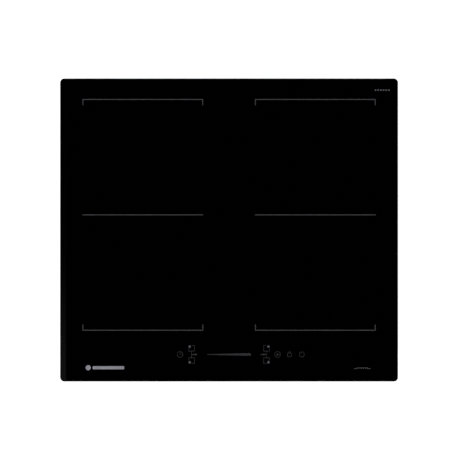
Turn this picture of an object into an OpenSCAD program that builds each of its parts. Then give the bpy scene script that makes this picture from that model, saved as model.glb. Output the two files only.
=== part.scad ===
// Built-in induction hob with four zones, for a 560 x 490 mm worktop cut-out.
// Millimetres. +X is right, +Y is the back, +Z is up. The origin is the centre of the worktop
// opening, on the worktop's surface: the glass lies above z = 0 and the casing hangs below it.

/* [Glass] */
// Width of the glass
glass_w = 580; // [578:1:600]
// Depth of the glass, front to back
glass_d = 520; // [518:1:540]
// Thickness of the glass
glass_t = 4; // [4:0.5:6]
// Radius of the glass's corners
glass_r = 7; // [4:0.5:9]
// Width of the ground bevels along the left and right edges
bevel_w = 10; // [8:0.5:12]
// Height that a bevel loses on its way out
bevel_drop = 1.6; // [1:0.1:1.8]
// Thickness of the foam seal under the glass
gasket_t = 1.5; // [1.5:0.5:3]

/* [Printed marks] */
// Width of one cooking field
zone_w = 207; // [200:1:210]
// Depth of one cooking field
zone_d = 198; // [192:1:200]
// Distance from the middle of the hob to a column of fields
zone_x = 148; // [146:0.5:150]
// Y of the line between the front and the back fields
zone_y = 26; // [24:0.5:28]
// Width of the field lines
line_w = 1.4; // [0.8:0.1:2]
// Y of the row of controls
control_y = -213.5; // [-215:0.1:-213]
// Length of the power slider
slider_l = 75; // [70:1:80]

/* [Casing] */
// Width of the worktop cut-out
cutout_w = 560; // [560:1:562]
// Depth of the worktop cut-out, front to back
cutout_d = 490; // [490:1:492]
// Gap between the casing and the cut-out, each side
casing_gap = 3; // [3:0.5:4]
// Depth of the casing under the worktop's surface
casing_depth = 54.5; // [54.5:0.5:60]
// Thickness of the casing's sheet steel
sheet_t = 1; // [0.8:0.1:1]

/* [Coils] */
// Outer diameter of a coil winding
coil_d = 180; // [170:1:182]
// Bore of a coil winding
coil_bore = 44; // [42:1:50]
// Ferrite bars under each coil
ferrites = 8; // [8]
// Thickness of the aluminium plates that carry the coils
coil_plate_t = 1.5; // [1.2:0.1:1.5]

/* [Fans] */
// Radius of a fan's wheel
wheel_r = 34; // [32:0.5:35]
// Blades on a fan's wheel
blades = 25; // [19:1:31]

/* [Clamps] */
// Length of a worktop clamp, end to end
clamp_l = 58; // [50:1:60]
// Width of a worktop clamp
clamp_w = 18; // [16:1:20]

/* [Hidden] */
$fn = 64;
eps = 0.01;
SIDES = ["left", "right"];
CORNERS = ["front_left", "rear_left", "front_right", "rear_right"];
CORNER_SIGNS = [[-1, -1], [-1, 1], [1, -1], [1, 1]];

function per(stem, names) = [for (n = names) str(stem, "_", n)];

// Glass
glass_z = gasket_t;
top_z = glass_z + glass_t;
print_t = 0.1;
arris = 0.6;
bevel_land = 1.8;
gasket_inset = 4;
gasket_w = 7.5;

// Icons of the control row, in the order left to right
icon_stroke = 0.6;
icon_r = 5.2;
clock_x = -84;
selector_x = 64.3;
selector_dy = 10.6;
selector_side = 10.4;
dot_r = 2.05;
boost_x = 83.2;
lock_x = 103.5;
power_x = 124.9;

// Casing
casing_w = cutout_w - 2 * casing_gap;
casing_d = cutout_d - 2 * casing_gap;
casing_r = 5;
shoulder_z = -30;
shoulder_top = shoulder_z + sheet_t;
floor_z = -casing_depth;
well_w = 430;
well_front = -225;
well_back = 205;
well_d = well_back - well_front;
well_y = (well_front + well_back) / 2;
slot_w = 3.6;
bead_depth = 0.5;

// Where the casing's screws go: [x, y, angle of the outward normal]
screw_spots = concat(
    [for (sx = [-1, 1], y = [-180, 0, 180]) [sx * casing_w / 2, y, sx > 0 ? 0 : 180]],
    [for (sy = [-1, 1], x = [-200, 60]) [x, sy * casing_d / 2, sy > 0 ? 90 : 270]]);
screw_z = -8;

// Frame that is bonded under the glass
bond_t = 0.8;
frame_t = 0.8;
flange_w = 12;
skirt_h = 15;
frame_w = casing_w - 2 * sheet_t;
frame_d = casing_d - 2 * sheet_t;
flange_z = glass_z - bond_t - frame_t;

// Coil stack, from the glass down
mica_t = 0.5;
winding_t = 3.6;
carrier_t = 2.4;
ferrite_t = 5;
ferrite_w = 14;
ferrite_l = 50;
ferrite_r0 = 32;
winding_z = glass_z - mica_t - winding_t;
carrier_z = winding_z - carrier_t;
plate_top = -18;
plate_z = plate_top - coil_plate_t;
plate_edges = [4, 256];
plate_ys = [-236, 235];
spring_r = 6.5;
spring_d = 1.2;
spring_at = 74;
spring_angles = [90, 225, 315];
stem_l = 4;
lead_dy = -24;
lead_dx = 5;
lead_d = 3;

// Electronics
tray_t = 2;
tray_z = floor_z + sheet_t;
tray_top = tray_z + tray_t;
board_t = 1.6;
board_z = -46;
board_top = board_z + board_t;
board_x = 106;
board_w = 185;
board_front = -100;
board_back = 135;
board_ys = [board_front + 6, board_back - 6];
filter_box = [[22, 147], [202, 197]];
filter_xs = [filter_box[0][0] + 5, filter_box[1][0] - 5];
filter_ys = [filter_box[0][1] + 5, filter_box[1][1] - 5];
post_h = 6;
plug_h = 8;
plug = [7, 7, plug_h];
pillar_x = 8.5;
pillar_ys = [-80, 40, 160];

// Corners of the boards that screws hold down
board_fixings = concat(
    [for (sx = [-1, 1], ex = [-1, 1], y = board_ys) [sx * board_x + ex * (board_w / 2 - 6), y]],
    [for (x = filter_xs, y = filter_ys) [x, y]]);
sink_dx = 46;
sink_w = 40;
sink_front = -60;
sink_back = 80;
sink_top = -24;
screw_r = 1.5;
hole_gap = 0.1;

// Fans
fan_dx = 15;
fan_y = -156;
fan_wall = 1.6;
fan_top = -22;
outlet_y = 52;
outlet_x = [16, 46];
inlet_hole = 27;
stator_r = 13;
shaft_r = 1.5;
shaft_gap = 0.05;
fan_lugs = [for (sx = [-1, 1], a = [135, 225, 315])
    [sx * board_x + fan_dx, fan_y] + (scroll_r(a) + 6) * [cos(a), sin(a)]];

// Controls
ui_x = [-112, 142];
ui_y = [-228, -186];
ui_z = -12;
ui_wall = 1.5;
ui_board_z = -5.6;
ui_board_top = ui_board_z + board_t;
cable_y = -191;

// One sprung contact under each key, five under the slider
key_spots = concat(
    [for (x = [clock_x, boost_x, lock_x, power_x]) [x, control_y]],
    [for (sx = [-1, 1], sy = [-1, 1]) [sx * selector_x, control_y + sy * (selector_dy - 3)]],
    [for (i = [-2 : 2]) [i * slider_l / 5, control_y]]);

// Wiring: where the coil posts and the plugs stand
post_dy = -12;
filter_plug_y = 190;
filter_link_xs = [46, 58];
filter_link_y = 153.5;
link_x = 33;
board_link_y = -60;
link_back_y = 124;
cable_end_y = -90;
sensor_plug = [18, -7];

// Terminal box, under the back shoulder
tb_x = [110, 210];
tb_y = [205, 239.5];
tb_z = [-52.5, shoulder_z];
tb_wall = 2;
tb_fix_y = 211;
inlet_y = 222;
inlet_z = -41;
inlet_r = 5.5;
wall_pass = [[126, 176], [-46, -36]];
pole_pitch = 12;
poles = 6;
pole_x0 = 124;
block_y = [209, 224];
pole_screw_z = -40;
hinge_y = 239.6;
hinge_z = -50.6;
pin_r = 1.25;
pin_gap = 0.05;
barrel_r = 1.9;
clamp_bar_x = 199;
clamp_bar_ys = [inlet_y - 9.5, inlet_y + 9.5];
clamp_bar_z = inlet_z + inlet_r;
clamp_bar_t = 1.8;

// Clamps
clamp_x = 246;
clamp_y = 150;
clamp_t = 2;
clamp_top = shoulder_z - 0.5;
clamp_screw_r = 2;
clamp_gap = 0.06;

module rounded_rect(w, d, r) {
    square([w - 2 * r, d], center = true);
    square([w, d - 2 * r], center = true);
    for (sx = [-1, 1], sy = [-1, 1])
        translate([sx * (w / 2 - r), sy * (d / 2 - r)]) circle(r);
}

module slab(z0, z1) {
    translate([0, 0, z0]) linear_extrude(z1 - z0) children();
}

// A box from one corner to the other
module block(a, b) {
    translate(a) cube(b - a);
}

// A screw with its head's underside at z = 0, pointing down
module screw(r, l, head_r, head_h) {
    translate([0, 0, -l]) cylinder(r = r, h = l + eps);
    difference() {
        cylinder(r = head_r, h = head_h);
        for (a = [0, 90])
            rotate(a) translate([-head_r * 0.6, -0.4, head_h - 0.8]) cube([head_r * 1.2, 0.8, 1]);
    }
}

// ---- A round wire through a list of points, as one swept tube ----
function unit(v) = v / norm(v);
function tangent(p, i) = unit(p[min(i + 1, len(p) - 1)] - p[max(i - 1, 0)]);
function side_of(t) = abs(t[2]) > 0.8 ? unit(cross(t, [0, 1, 0])) : unit(cross(t, [0, 0, 1]));
function spline(p, i, u) =
    let (a = p[max(i - 1, 0)], b = p[i], c = p[i + 1], d = p[min(i + 2, len(p) - 1)])
    0.5 * (2 * b + (c - a) * u + (2 * a - 5 * b + 4 * c - d) * u * u
        + (3 * b - a - 3 * c + d) * u * u * u);
function smooth(p, steps) = concat(
    [for (i = [0 : len(p) - 2], s = [0 : steps - 1]) spline(p, i, s / steps)], [p[len(p) - 1]]);

// Straight ends: a point is added near each end, on the first and the last stretch
function eased(p) = let (n = len(p)) concat(
    [p[0], p[0] + (p[1] - p[0]) * 0.4], [for (i = [1 : n - 2]) p[i]],
    [p[n - 1] + (p[n - 2] - p[n - 1]) * 0.4, p[n - 1]]);

// The ends are flat and square to the wire's first and last stretch.
module wire(points, d, steps = 3, sides = 8) {
    path = steps > 1 ? smooth(eased(points), steps) : points;
    n = len(path);
    rings = [for (i = [0 : n - 1])
        let (t = tangent(path, i), u = side_of(t), v = cross(t, u))
        for (k = [0 : sides - 1])
            path[i] + d / 2 * (cos(360 * k / sides) * u + sin(360 * k / sides) * v)];
    walls = [for (i = [0 : n - 2], k = [0 : sides - 1])
        let (j = (k + 1) % sides)
        [i * sides + k, i * sides + j, (i + 1) * sides + j, (i + 1) * sides + k]];
    first = [for (k = [sides - 1 : -1 : 0]) k];
    last = [for (k = [0 : sides - 1]) (n - 1) * sides + k];
    polyhedron(rings, concat(walls, [first, last]), convexity = 4);
}

// ---- Glass and its printed marks ----
// A plate with a small arris round its top edge
module arris_plate(w, d, r, z0, z1, a) {
    profile = function (s) [[-s, z0], [s, z0], [s, z1 - a], [s - a, z1], [a - s, z1], [-s, z1 - a]];
    translate([-(w / 2 - r), 0, 0]) rotate([90, 0, 90])
        linear_extrude(w - 2 * r) polygon(profile(d / 2));
    translate([0, d / 2 - r, 0]) rotate([90, 0, 0])
        linear_extrude(d - 2 * r) polygon(profile(w / 2));
    for (sx = [-1, 1], sy = [-1, 1])
        translate([sx * (w / 2 - r), sy * (d / 2 - r), z0]) {
            cylinder(r = r, h = z1 - z0 - a);
            translate([0, 0, z1 - z0 - a]) cylinder(r1 = r, r2 = r - a, h = a);
        }
}

module bevelled_plate() {
    half = glass_w / 2;
    right = [[half, glass_z - 1], [half, top_z - bevel_drop],
             [half - bevel_land, top_z - bevel_drop], [half - bevel_w, top_z]];
    left = [for (i = [3 : -1 : 0]) [-right[i][0], right[i][1]]];
    intersection() {
        arris_plate(glass_w, glass_d, glass_r, glass_z, top_z, arris);
        translate([0, glass_d / 2 + 1, 0]) rotate([90, 0, 0])
            linear_extrude(glass_d + 2) polygon(concat(right, left));
    }
}

module zone_marks() {
    tick = 10.6;
    for (sx = [-1, 1]) translate([sx * zone_x, zone_y]) {
        square([zone_w, line_w], center = true);
        for (sy = [-1, 1], ex = [-1, 1]) {
            translate([0, sy * zone_d]) square([zone_w, line_w], center = true);
            translate([ex * (zone_w - line_w) / 2, sy * (zone_d + line_w / 2 - tick / 2)])
                square([line_w, tick], center = true);
        }
    }
}

module ring_mark(r, stroke) {
    difference() {
        circle(r);
        circle(r - stroke);
    }
}

// A bar with round ends that widens from r0 at its left end to r1 at its right end
module wedge_mark(l, r0, r1) {
    translate([r0, 0]) circle(r0);
    translate([l - r1, 0]) circle(r1);
    polygon([[r0, -r0], [l - r1, -r1], [l - r1, r1], [r0, r0]]);
}

// A square outline that is open at its upper left, where a dot stands
module selector_mark() {
    s = selector_side;
    b = icon_stroke;
    translate([s / 2 - b, -s / 2]) square([b, s]);
    translate([-s / 2, -s / 2]) square([s, b]);
    translate([-s / 2, -s / 2]) square([b, s * 0.48]);
    translate([s * 0.06, s / 2 - b]) square([s * 0.44, b]);
}

module selector_pair(sx) {
    translate([sx * selector_x, control_y]) {
        for (sy = [-1, 1]) translate([0, sy * selector_dy])
            mirror([sx > 0 ? 1 : 0, 0]) mirror([0, sy < 0 ? 1 : 0]) selector_mark();
        gap = 2 * (selector_dy - selector_side / 2) - 2 * eps;
        translate([-icon_stroke / 2, -gap / 2]) square([icon_stroke, gap]);
        translate([sx > 0 ? -10.7 : icon_stroke / 2 - eps, 0]) wedge_mark(9, 0.35, 1.4);
    }
}

module clock_mark() {
    ring_mark(icon_r, icon_stroke);
    translate([-icon_stroke / 2, -icon_stroke / 2]) square([icon_stroke, 3.2]);
    translate([-icon_stroke / 2, -icon_stroke / 2]) square([2.6, icon_stroke]);
}

module boost_mark() {
    ring_mark(icon_r, icon_stroke);
    polygon([[-1.3, -2.4], [2.4, 0], [-1.3, 2.4]]);
}

module lock_mark() {
    b = icon_stroke;
    difference() {
        translate([-3.5, -4]) square([7, 6.4]);
        translate([b - 3.5, b - 4]) square([7 - 2 * b, 6.4 - 2 * b]);
    }
    difference() {
        translate([0, 3]) ring_mark(2.1, b);
        translate([-3, -2.3]) square([6, 4.6]);
    }
}

module power_mark() {
    difference() {
        ring_mark(4.7, icon_stroke);
        translate([-1.6, 0]) square([3.2, 6]);
    }
    translate([-icon_stroke / 2, 2]) square([icon_stroke, 3]);
}

// A row of loops with straight ends, the sign for a coil
module coil_sign() {
    loops = 5;
    r = 2.3;
    b = 0.9;
    for (i = [0 : loops - 1]) translate([(i - (loops - 1) / 2) * (2 * r - b), 0])
        difference() {
            ring_mark(r, b);
            translate([-r - 1, -r - 1]) square([2 * r + 2, r + 1]);
        }
    reach = loops * (r - b / 2);
    for (sx = [-1, 1]) translate([sx * (reach + 2), b / 2]) square([6, b], center = true);
}

module control_marks() {
    selector_pair(-1);
    selector_pair(1);
    translate([clock_x, control_y]) clock_mark();
    translate([-slider_l / 2, control_y]) wedge_mark(slider_l, 0.4, 2.2);
    translate([boost_x, control_y]) boost_mark();
    translate([lock_x, control_y]) lock_mark();
    translate([power_x, control_y]) power_mark();
    translate([228.4, -238.1]) coil_sign();
}

// The bright marks: a dot in each selector, a plain disc and bar, and a row of small dots
module badge_marks() {
    bar = [54, 5.4];
    disc_r = 4.4;
    for (sx = [-1, 1], sy = [-1, 1])
        translate([sx * (selector_x + 3.2), control_y + sy * (selector_dy + 2.9)]) circle(dot_r);
    translate([-246, -236.3]) {
        translate([disc_r, 0]) circle(disc_r);
        translate([66 - bar[0] / 2, 0]) rounded_rect(bar[0], bar[1], 1.2);
    }
    for (i = [0 : 5]) translate([251.3 + 4.6 * i, 240]) circle(1.45);
}

module glass_top() {
    color([0.01, 0.01, 0.012]) difference() {
        bevelled_plate();
        slab(top_z - print_t, top_z + 1) zone_marks();
        slab(top_z - print_t, top_z + 1) control_marks();
        slab(top_z - print_t, top_z + 1) badge_marks();
    }
}

module zone_markings() {
    color([0.33, 0.33, 0.34]) slab(top_z - print_t, top_z) zone_marks();
}

module control_markings() {
    color([0.25, 0.25, 0.26]) slab(top_z - print_t, top_z) control_marks();
}

module badge_markings() {
    color([0.55, 0.55, 0.58]) slab(top_z - print_t, top_z) badge_marks();
}

module worktop_gasket() {
    w = glass_w - 2 * gasket_inset;
    d = glass_d - 2 * gasket_inset;
    color([0.12, 0.12, 0.12]) slab(0, gasket_t) difference() {
        rounded_rect(w, d, 5);
        rounded_rect(w - 2 * gasket_w, d - 2 * gasket_w, 2);
    }
}

module frame_ring(inset) {
    difference() {
        rounded_rect(frame_w - 2 * inset, frame_d - 2 * inset, casing_r - sheet_t - inset);
        rounded_rect(frame_w - 2 * flange_w, frame_d - 2 * flange_w, 3);
    }
}

module glass_bond() {
    color([0.2, 0.2, 0.2]) slab(glass_z - bond_t, glass_z) frame_ring(1);
}

module at_screw_spots() {
    for (s = screw_spots) translate([s[0], s[1], screw_z]) rotate([0, 90, s[2]]) children();
}

module glass_frame() {
    color("silver") difference() {
        union() {
            slab(flange_z, flange_z + frame_t) frame_ring(0);
            slab(flange_z - skirt_h, flange_z + eps) difference() {
                rounded_rect(frame_w, frame_d, casing_r - sheet_t);
                rounded_rect(frame_w - 2 * frame_t, frame_d - 2 * frame_t,
                    casing_r - sheet_t - frame_t);
            }
        }
        at_screw_spots() translate([0, 0, -4]) cylinder(r = 2.05, h = 8);
    }
}

module casing_screws() {
    color("gainsboro") at_screw_spots() screw(2, 6, 3.6, 2);
}

// ---- Casing ----
// The hole that the mains leads take through a back wall at y
module mains_pass(y) {
    block([wall_pass[0][0], y - 3, wall_pass[1][0]], [wall_pass[0][1], y + 3, wall_pass[1][1]]);
}

module fan_grille(x) {
    reach = 36;
    for (i = [-4 : 4])
        let (l = 2 * sqrt(reach * reach - 64 * i * i))
        translate([x + 8 * i - slot_w / 2, fan_y - l / 2, floor_z - 1]) cube([slot_w, l, sheet_t + 2]);
}

module wall_slots(y, xs) {
    for (x = xs) translate([x - slot_w / 2, y - 3, -50]) cube([slot_w, 6, 15]);
}

// Shallow grooves that stiffen the floor: long ones across it and a ring round each grille
module pressed_beads() {
    slab(floor_z - 1, floor_z + bead_depth) {
        for (y = [-60 : 50 : 140]) for (sx = [-1, 1])
            translate([sx * 100, y]) rounded_rect(150, 6, 2.9);
        for (sx = [-1, 1]) translate([sx * board_x + fan_dx, fan_y]) ring_mark(45, 4);
    }
}

// The outer walls and the shoulder that steps in under them
module casing_rim() {
    color([0.72, 0.73, 0.74]) difference() {
        slab(shoulder_z, 0) rounded_rect(casing_w, casing_d, casing_r);
        slab(shoulder_top, 1)
            rounded_rect(casing_w - 2 * sheet_t, casing_d - 2 * sheet_t, casing_r - sheet_t);
        translate([0, well_y]) slab(shoulder_z - 1, shoulder_top + eps)
            rounded_rect(well_w - 2 * sheet_t, well_d - 2 * sheet_t, casing_r - sheet_t);
        at_screw_spots() translate([0, 0, -3]) cylinder(r = 2.15, h = 6);
        for (s = CORNER_SIGNS) translate([s[0] * clamp_x, s[1] * clamp_y, shoulder_z - 1])
            cylinder(r = clamp_screw_r + hole_gap, h = sheet_t + 2);
        for (x = [tb_x[0] + 6, tb_x[1] - 6]) translate([x, tb_fix_y, shoulder_z - 1])
            cylinder(r = screw_r + hole_gap, h = sheet_t + 2);
    }
}

// The deep tray, whose upper edge is welded to the underside of the shoulder
module base_tray() {
    color([0.72, 0.73, 0.74]) difference() {
        translate([0, well_y]) slab(floor_z, shoulder_z) rounded_rect(well_w, well_d, casing_r);
        translate([0, well_y]) slab(floor_z + sheet_t, shoulder_z + 1)
            rounded_rect(well_w - 2 * sheet_t, well_d - 2 * sheet_t, casing_r - sheet_t);
        for (sx = [-1, 1]) fan_grille(sx * board_x + fan_dx);
        pressed_beads();
        wall_slots(well_front, [for (i = [0 : 13], s = [-1, 1]) s * (34 + 12 * i)]);
        wall_slots(well_back, [for (i = [0 : 20]) -190 + 12 * i]);
        mains_pass(well_back);
    }
}

// ---- Coils ----
function zone_centre(i) = [CORNER_SIGNS[i][0] * zone_x, zone_y + CORNER_SIGNS[i][1] * zone_d / 2];

module at_zones(side = 0) {
    for (i = [0 : 3])
        if (side == 0 || CORNER_SIGNS[i][0] == side) translate(zone_centre(i)) children();
}

module mica_sheets() {
    color([0.75, 0.72, 0.62]) at_zones() slab(glass_z - mica_t, glass_z) difference() {
        circle(coil_d / 2 + 2);
        circle(8);
    }
}

// Turns of stranded wire laid side by side, drawn as ridges on one ring
module coil_winding() {
    turns = 14;
    pitch = (coil_d - coil_bore) / 2 / turns;
    c = 0.9;
    color([0.75, 0.42, 0.22]) rotate_extrude() translate([coil_bore / 2, winding_z]) {
        square([turns * pitch, winding_t - c]);
        for (i = [0 : turns - 1]) translate([i * pitch, winding_t - c - eps])
            polygon([[0, 0], [pitch, 0], [pitch - c, c + eps], [c, c + eps]]);
    }
}

module coil_carrier() {
    color([0.9, 0.9, 0.88]) slab(carrier_z, carrier_z + carrier_t) difference() {
        circle(coil_d / 2 + 4);
        circle(4.3);
        for (a = [0 : 45 : 315]) rotate(a) translate([47, 0]) rounded_rect(30, 12, 5.9);
        for (sx = [-1, 1]) translate([sx * lead_dx, lead_dy]) circle(lead_d / 2 + hole_gap);
    }
}

module ferrite_bars(side) {
    color([0.2, 0.2, 0.21]) at_zones(side) for (i = [0 : ferrites - 1])
        rotate((i + 0.5) * 360 / ferrites) translate([ferrite_r0, -ferrite_w / 2, carrier_z - ferrite_t])
            cube([ferrite_l, ferrite_w, ferrite_t]);
}

// A helix with a flat turn at each end
function spring_path(z0, z1) =
    let (turns = 3.5, n = 36, d = spring_d)
    [for (i = [0 : n])
        let (u = i / n, v = min(1, max(0, (u - 0.18) / 0.64)), a = 360 * turns * u)
        [(spring_r - d / 2) * cos(a), (spring_r - d / 2) * sin(a), z0 + d / 2 + (z1 - z0 - d) * v]];

module coil_springs() {
    color("silver") at_zones() for (a = spring_angles)
        rotate(a) translate([spring_at, 0, 0])
            wire(spring_path(plate_top, carrier_z), spring_d, 1, 5);
}

module temperature_sensors() {
    color([0.85, 0.84, 0.8]) at_zones() {
        translate([0, 0, winding_z]) cylinder(r = 6, h = glass_z - winding_z);
        translate([0, 0, carrier_z - stem_l]) cylinder(r = 4.2, h = carrier_t + stem_l + eps);
    }
}

module coil_plate(side) {
    t = coil_plate_t;
    w = plate_edges[1] - plate_edges[0];
    d = plate_ys[1] - plate_ys[0];
    color([0.8, 0.81, 0.82]) difference() {
        translate([side > 0 ? plate_edges[0] : -plate_edges[1], plate_ys[0], shoulder_top]) difference() {
            cube([w, d, plate_top - shoulder_top]);
            translate([side > 0 ? -1 : t, t, -1])
                cube([w + 1 - t, d - 2 * t, plate_top - shoulder_top + 1 - t]);
        }
        at_zones(side) {
            translate([0, 0, plate_z - 1]) cylinder(r = 10, h = t + 2);
            for (sx = [-1, 1]) translate([sx * lead_dx, lead_dy, plate_z - 1]) cylinder(r = 3, h = t + 2);
            for (a = [0, 180]) rotate(a) translate([0, 0, plate_z - 1])
                linear_extrude(t + 2) translate([48, 0]) rounded_rect(44, 20, 8);
        }
        for (y = pillar_ys) translate([side * pillar_x, y, plate_z - 1])
            cylinder(r = screw_r + hole_gap, h = t + 2);
    }
}

// ---- Electronics ----
module electronics_tray() {
    color([0.16, 0.16, 0.17]) difference() {
        union() {
            slab(tray_z, tray_top) difference() {
                translate([-204, -101]) square([408, 299]);
                for (sx = [-1, 1], i = [0 : 3]) translate([sx * board_x, -62 + 54 * i])
                    rounded_rect(150, 40, 4);
            }
            for (p = board_fixings) translate([p[0], p[1], tray_z])
                cylinder(r = 3.2, h = board_z - tray_z);
            for (sx = [-1, 1], y = pillar_ys) translate([sx * pillar_x, y, tray_z])
                cylinder(r = 3.5, h = plate_z - tray_z);
        }
        for (p = board_fixings) translate([p[0], p[1], board_z - 5])
            cylinder(r = screw_r + hole_gap, h = 6);
        for (sx = [-1, 1], y = pillar_ys) translate([sx * pillar_x, y, plate_z - 9])
            cylinder(r = screw_r + hole_gap, h = 10);
    }
}

module inner_screws() {
    color("gainsboro") {
        for (p = board_fixings) translate([p[0], p[1], board_top]) screw(screw_r, 6, 2.8, 1.6);
        for (sx = [-1, 1], y = pillar_ys) translate([sx * pillar_x, y, plate_top])
            screw(screw_r, 9, 3, 1.8);
        for (p = fan_lugs) translate([p[0], p[1], tray_top]) screw(screw_r, 2, 2.8, 1.6);
        for (x = [tb_x[0] + 6, tb_x[1] - 6]) translate([x, tb_fix_y, shoulder_top])
            screw(screw_r, 4, 2.8, 1.6);
    }
}

module board(a, b) {
    difference() {
        block([a[0], a[1], board_z], [b[0], b[1], board_top]);
        for (p = board_fixings) translate([p[0], p[1], board_z - 1])
            cylinder(r = screw_r + hole_gap, h = 4);
    }
}

module power_board(side) {
    x = side * board_x;
    color([0.13, 0.3, 0.16]) board([x - board_w / 2, board_front], [x + board_w / 2, board_back]);
}

module filter_board() {
    color([0.13, 0.3, 0.16]) board(filter_box[0], filter_box[1]);
}

// A part that stands on a board: centre, footprint and height
module on_board(p, size) {
    translate([p[0] - size[0] / 2, p[1] - size[1] / 2, board_top]) cube(size);
}

module round_part(p, r, h) {
    translate([p[0], p[1], board_top]) cylinder(r = r, h = h);
}

// A ring choke: a core that stands on the board with a groove round its middle
module choke(p, r, h) {
    translate([p[0], p[1], board_top]) rotate_extrude() difference() {
        translate([r * 0.42, 0]) square([r * 0.58, h]);
        translate([r - 0.8, h / 2 - 1]) square([1, 2]);
    }
}

module heat_sink(side) {
    x = side * board_x + sink_dx;
    pitch = 4.6;
    color([0.78, 0.79, 0.8]) translate([x, sink_back, board_top]) rotate([90, 0, 0])
        linear_extrude(sink_back - sink_front) {
            translate([-sink_w / 2, 0]) square([sink_w, 5]);
            translate([-sink_w / 2, 0]) square([4, sink_top - board_top]);
            for (i = [0 : 6]) translate([sink_w / 2 - 1.4 - i * pitch, 0])
                square([1.4, sink_top - board_top]);
        }
}

module power_transistors() {
    for (sx = [-1, 1], i = [0 : 3])
        translate([sx * board_x + sink_dx - sink_w / 2, sink_front + 10 + 32 * i, board_top]) {
            color([0.1, 0.1, 0.1]) translate([-5, 0, 2]) cube([5, 16, 17]);
            color("silver") for (k = [0 : 2]) translate([-3.2, 3 + 4.5 * k, 0]) cube([0.8, 1.2, 2 + eps]);
        }
}

module board_parts(side) {
    c = [side * board_x, (board_front + board_back) / 2];
    color([0.55, 0.56, 0.6]) for (y = [60, 10, -40]) on_board(c + [-68, y], [26, 40, 19]);
    color([0.5, 0.3, 0.15]) choke(c + [-25, 30], 16, 16);
    color([0.2, 0.2, 0.22]) on_board(c + [-25, -18], [28, 26, 18]);
    color([0.1, 0.12, 0.2]) for (x = [-34, -12]) round_part(c + [x, -55], 8, 18);
    color([0.15, 0.35, 0.6]) on_board(c + [-12, 75], [16, 28, 14]);
    color([0.1, 0.1, 0.1]) for (y = [-40, 0, 40]) on_board(c + [-48, y], [8, 12, 2.2]);
    color([0.1, 0.1, 0.1]) on_board(c + [80, 20], [10, 10, 2.2]);
    color([0.9, 0.88, 0.8]) for (p = plug_spots(side)) on_board(p, plug);
    color([0.8, 0.7, 0.4]) at_zones(side) for (sx = [-1, 1])
        translate([sx * lead_dx, post_dy, board_top]) cylinder(r = 3.4, h = post_h);
}

module filter_parts() {
    color([0.5, 0.3, 0.15]) choke([60, 172], 16, 17);
    color([0.9, 0.75, 0.2]) on_board([92, 172], [13, 34, 18]);
    color([0.15, 0.35, 0.6]) on_board([114, 166], [16, 24, 14]);
    color([0.85, 0.85, 0.85]) on_board([38, 172], [8, 22, 8]);
    color([0.2, 0.2, 0.2]) on_board([178, 168], [24, 20, 12]);
    color([0.3, 0.5, 0.35]) on_board([150, filter_plug_y], [34, 8, plug_h]);
    color([0.9, 0.88, 0.8]) for (x = filter_link_xs) on_board([x, filter_link_y], plug);
}

// ---- Fans ----
// The scroll widens against the clock from the tongue beside the outlet
function scroll_r(a) = 37.5 + (outlet_x[1] - 37.5) * (a - 65) / 295;
function scroll(wall) = concat(
    [for (a = [65 : 5 : 360]) (scroll_r(a) + wall) * [cos(a), sin(a)]],
    [[outlet_x[1] + wall, outlet_y], [outlet_x[0] - wall, outlet_y]]);

module at_fan(side) {
    translate([side * board_x + fan_dx, fan_y]) children();
}

module fan_housing(side) {
    lugs = [for (p = fan_lugs) if (sign(p[0]) == side) p];
    color([0.14, 0.14, 0.15]) difference() {
        union() {
            at_fan(side) {
                slab(tray_z, tray_top) difference() {
                    polygon(scroll(fan_wall));
                    circle(inlet_hole);
                }
                slab(tray_z, fan_top - fan_wall) difference() {
                    polygon(scroll(fan_wall));
                    polygon(concat(scroll(0),
                        [[outlet_x[1], outlet_y + 1], [outlet_x[0], outlet_y + 1]]));
                }
            }
            slab(tray_z, tray_top) for (p = lugs) difference() {
                translate(p) circle(5);
                at_fan(side) circle(scroll_r(100));
            }
        }
        for (p = lugs) translate([p[0], p[1], tray_z - 1])
            cylinder(r = screw_r + hole_gap, h = tray_t + 2);
    }
}

module fan_cover(side) {
    color([0.18, 0.18, 0.19]) at_fan(side) {
        slab(fan_top - fan_wall, fan_top) polygon(scroll(fan_wall));
        slab(-30.5, fan_top - fan_wall + eps) circle(stator_r);
        slab(fan_top - eps, fan_top + 1.8) translate([-4, 16]) square([8, 5]);
    }
    color("silver") at_fan(side) slab(-39, -30.5 + eps) circle(shaft_r);
}

// One forward-curved blade
function blade(r0, r1, t) = concat(
    [for (i = [0 : 4]) let (r = r0 + (r1 - r0) * i / 4, a = 0.9 * i * i) r * [cos(a), sin(a)]],
    [for (i = [4 : -1 : 0]) let (r = r0 + (r1 - r0) * i / 4, a = 0.9 * i * i + 57.3 * t / r)
        r * [cos(a), sin(a)]]);

module fan_wheel(side) {
    rim = 26.5;
    color([0.1, 0.1, 0.11]) at_fan(side) {
        rotate_extrude() polygon([
            [shaft_r + shaft_gap, -40], [5, -40], [5, -33.5], [16.5, -33.5], [16.5, -27],
            [wheel_r, -27], [wheel_r, -25.5], [stator_r + 1.8, -25.5], [stator_r + 1.8, -31.7],
            [shaft_r + shaft_gap, -31.7]]);
        slab(-49.5, -26.5) for (i = [0 : blades - 1]) rotate(i * 360 / blades)
            polygon(blade(rim + 0.6, wheel_r - 0.4, 1));
        slab(-50, -48.6) ring_mark(wheel_r, wheel_r - rim);
    }
}

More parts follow.
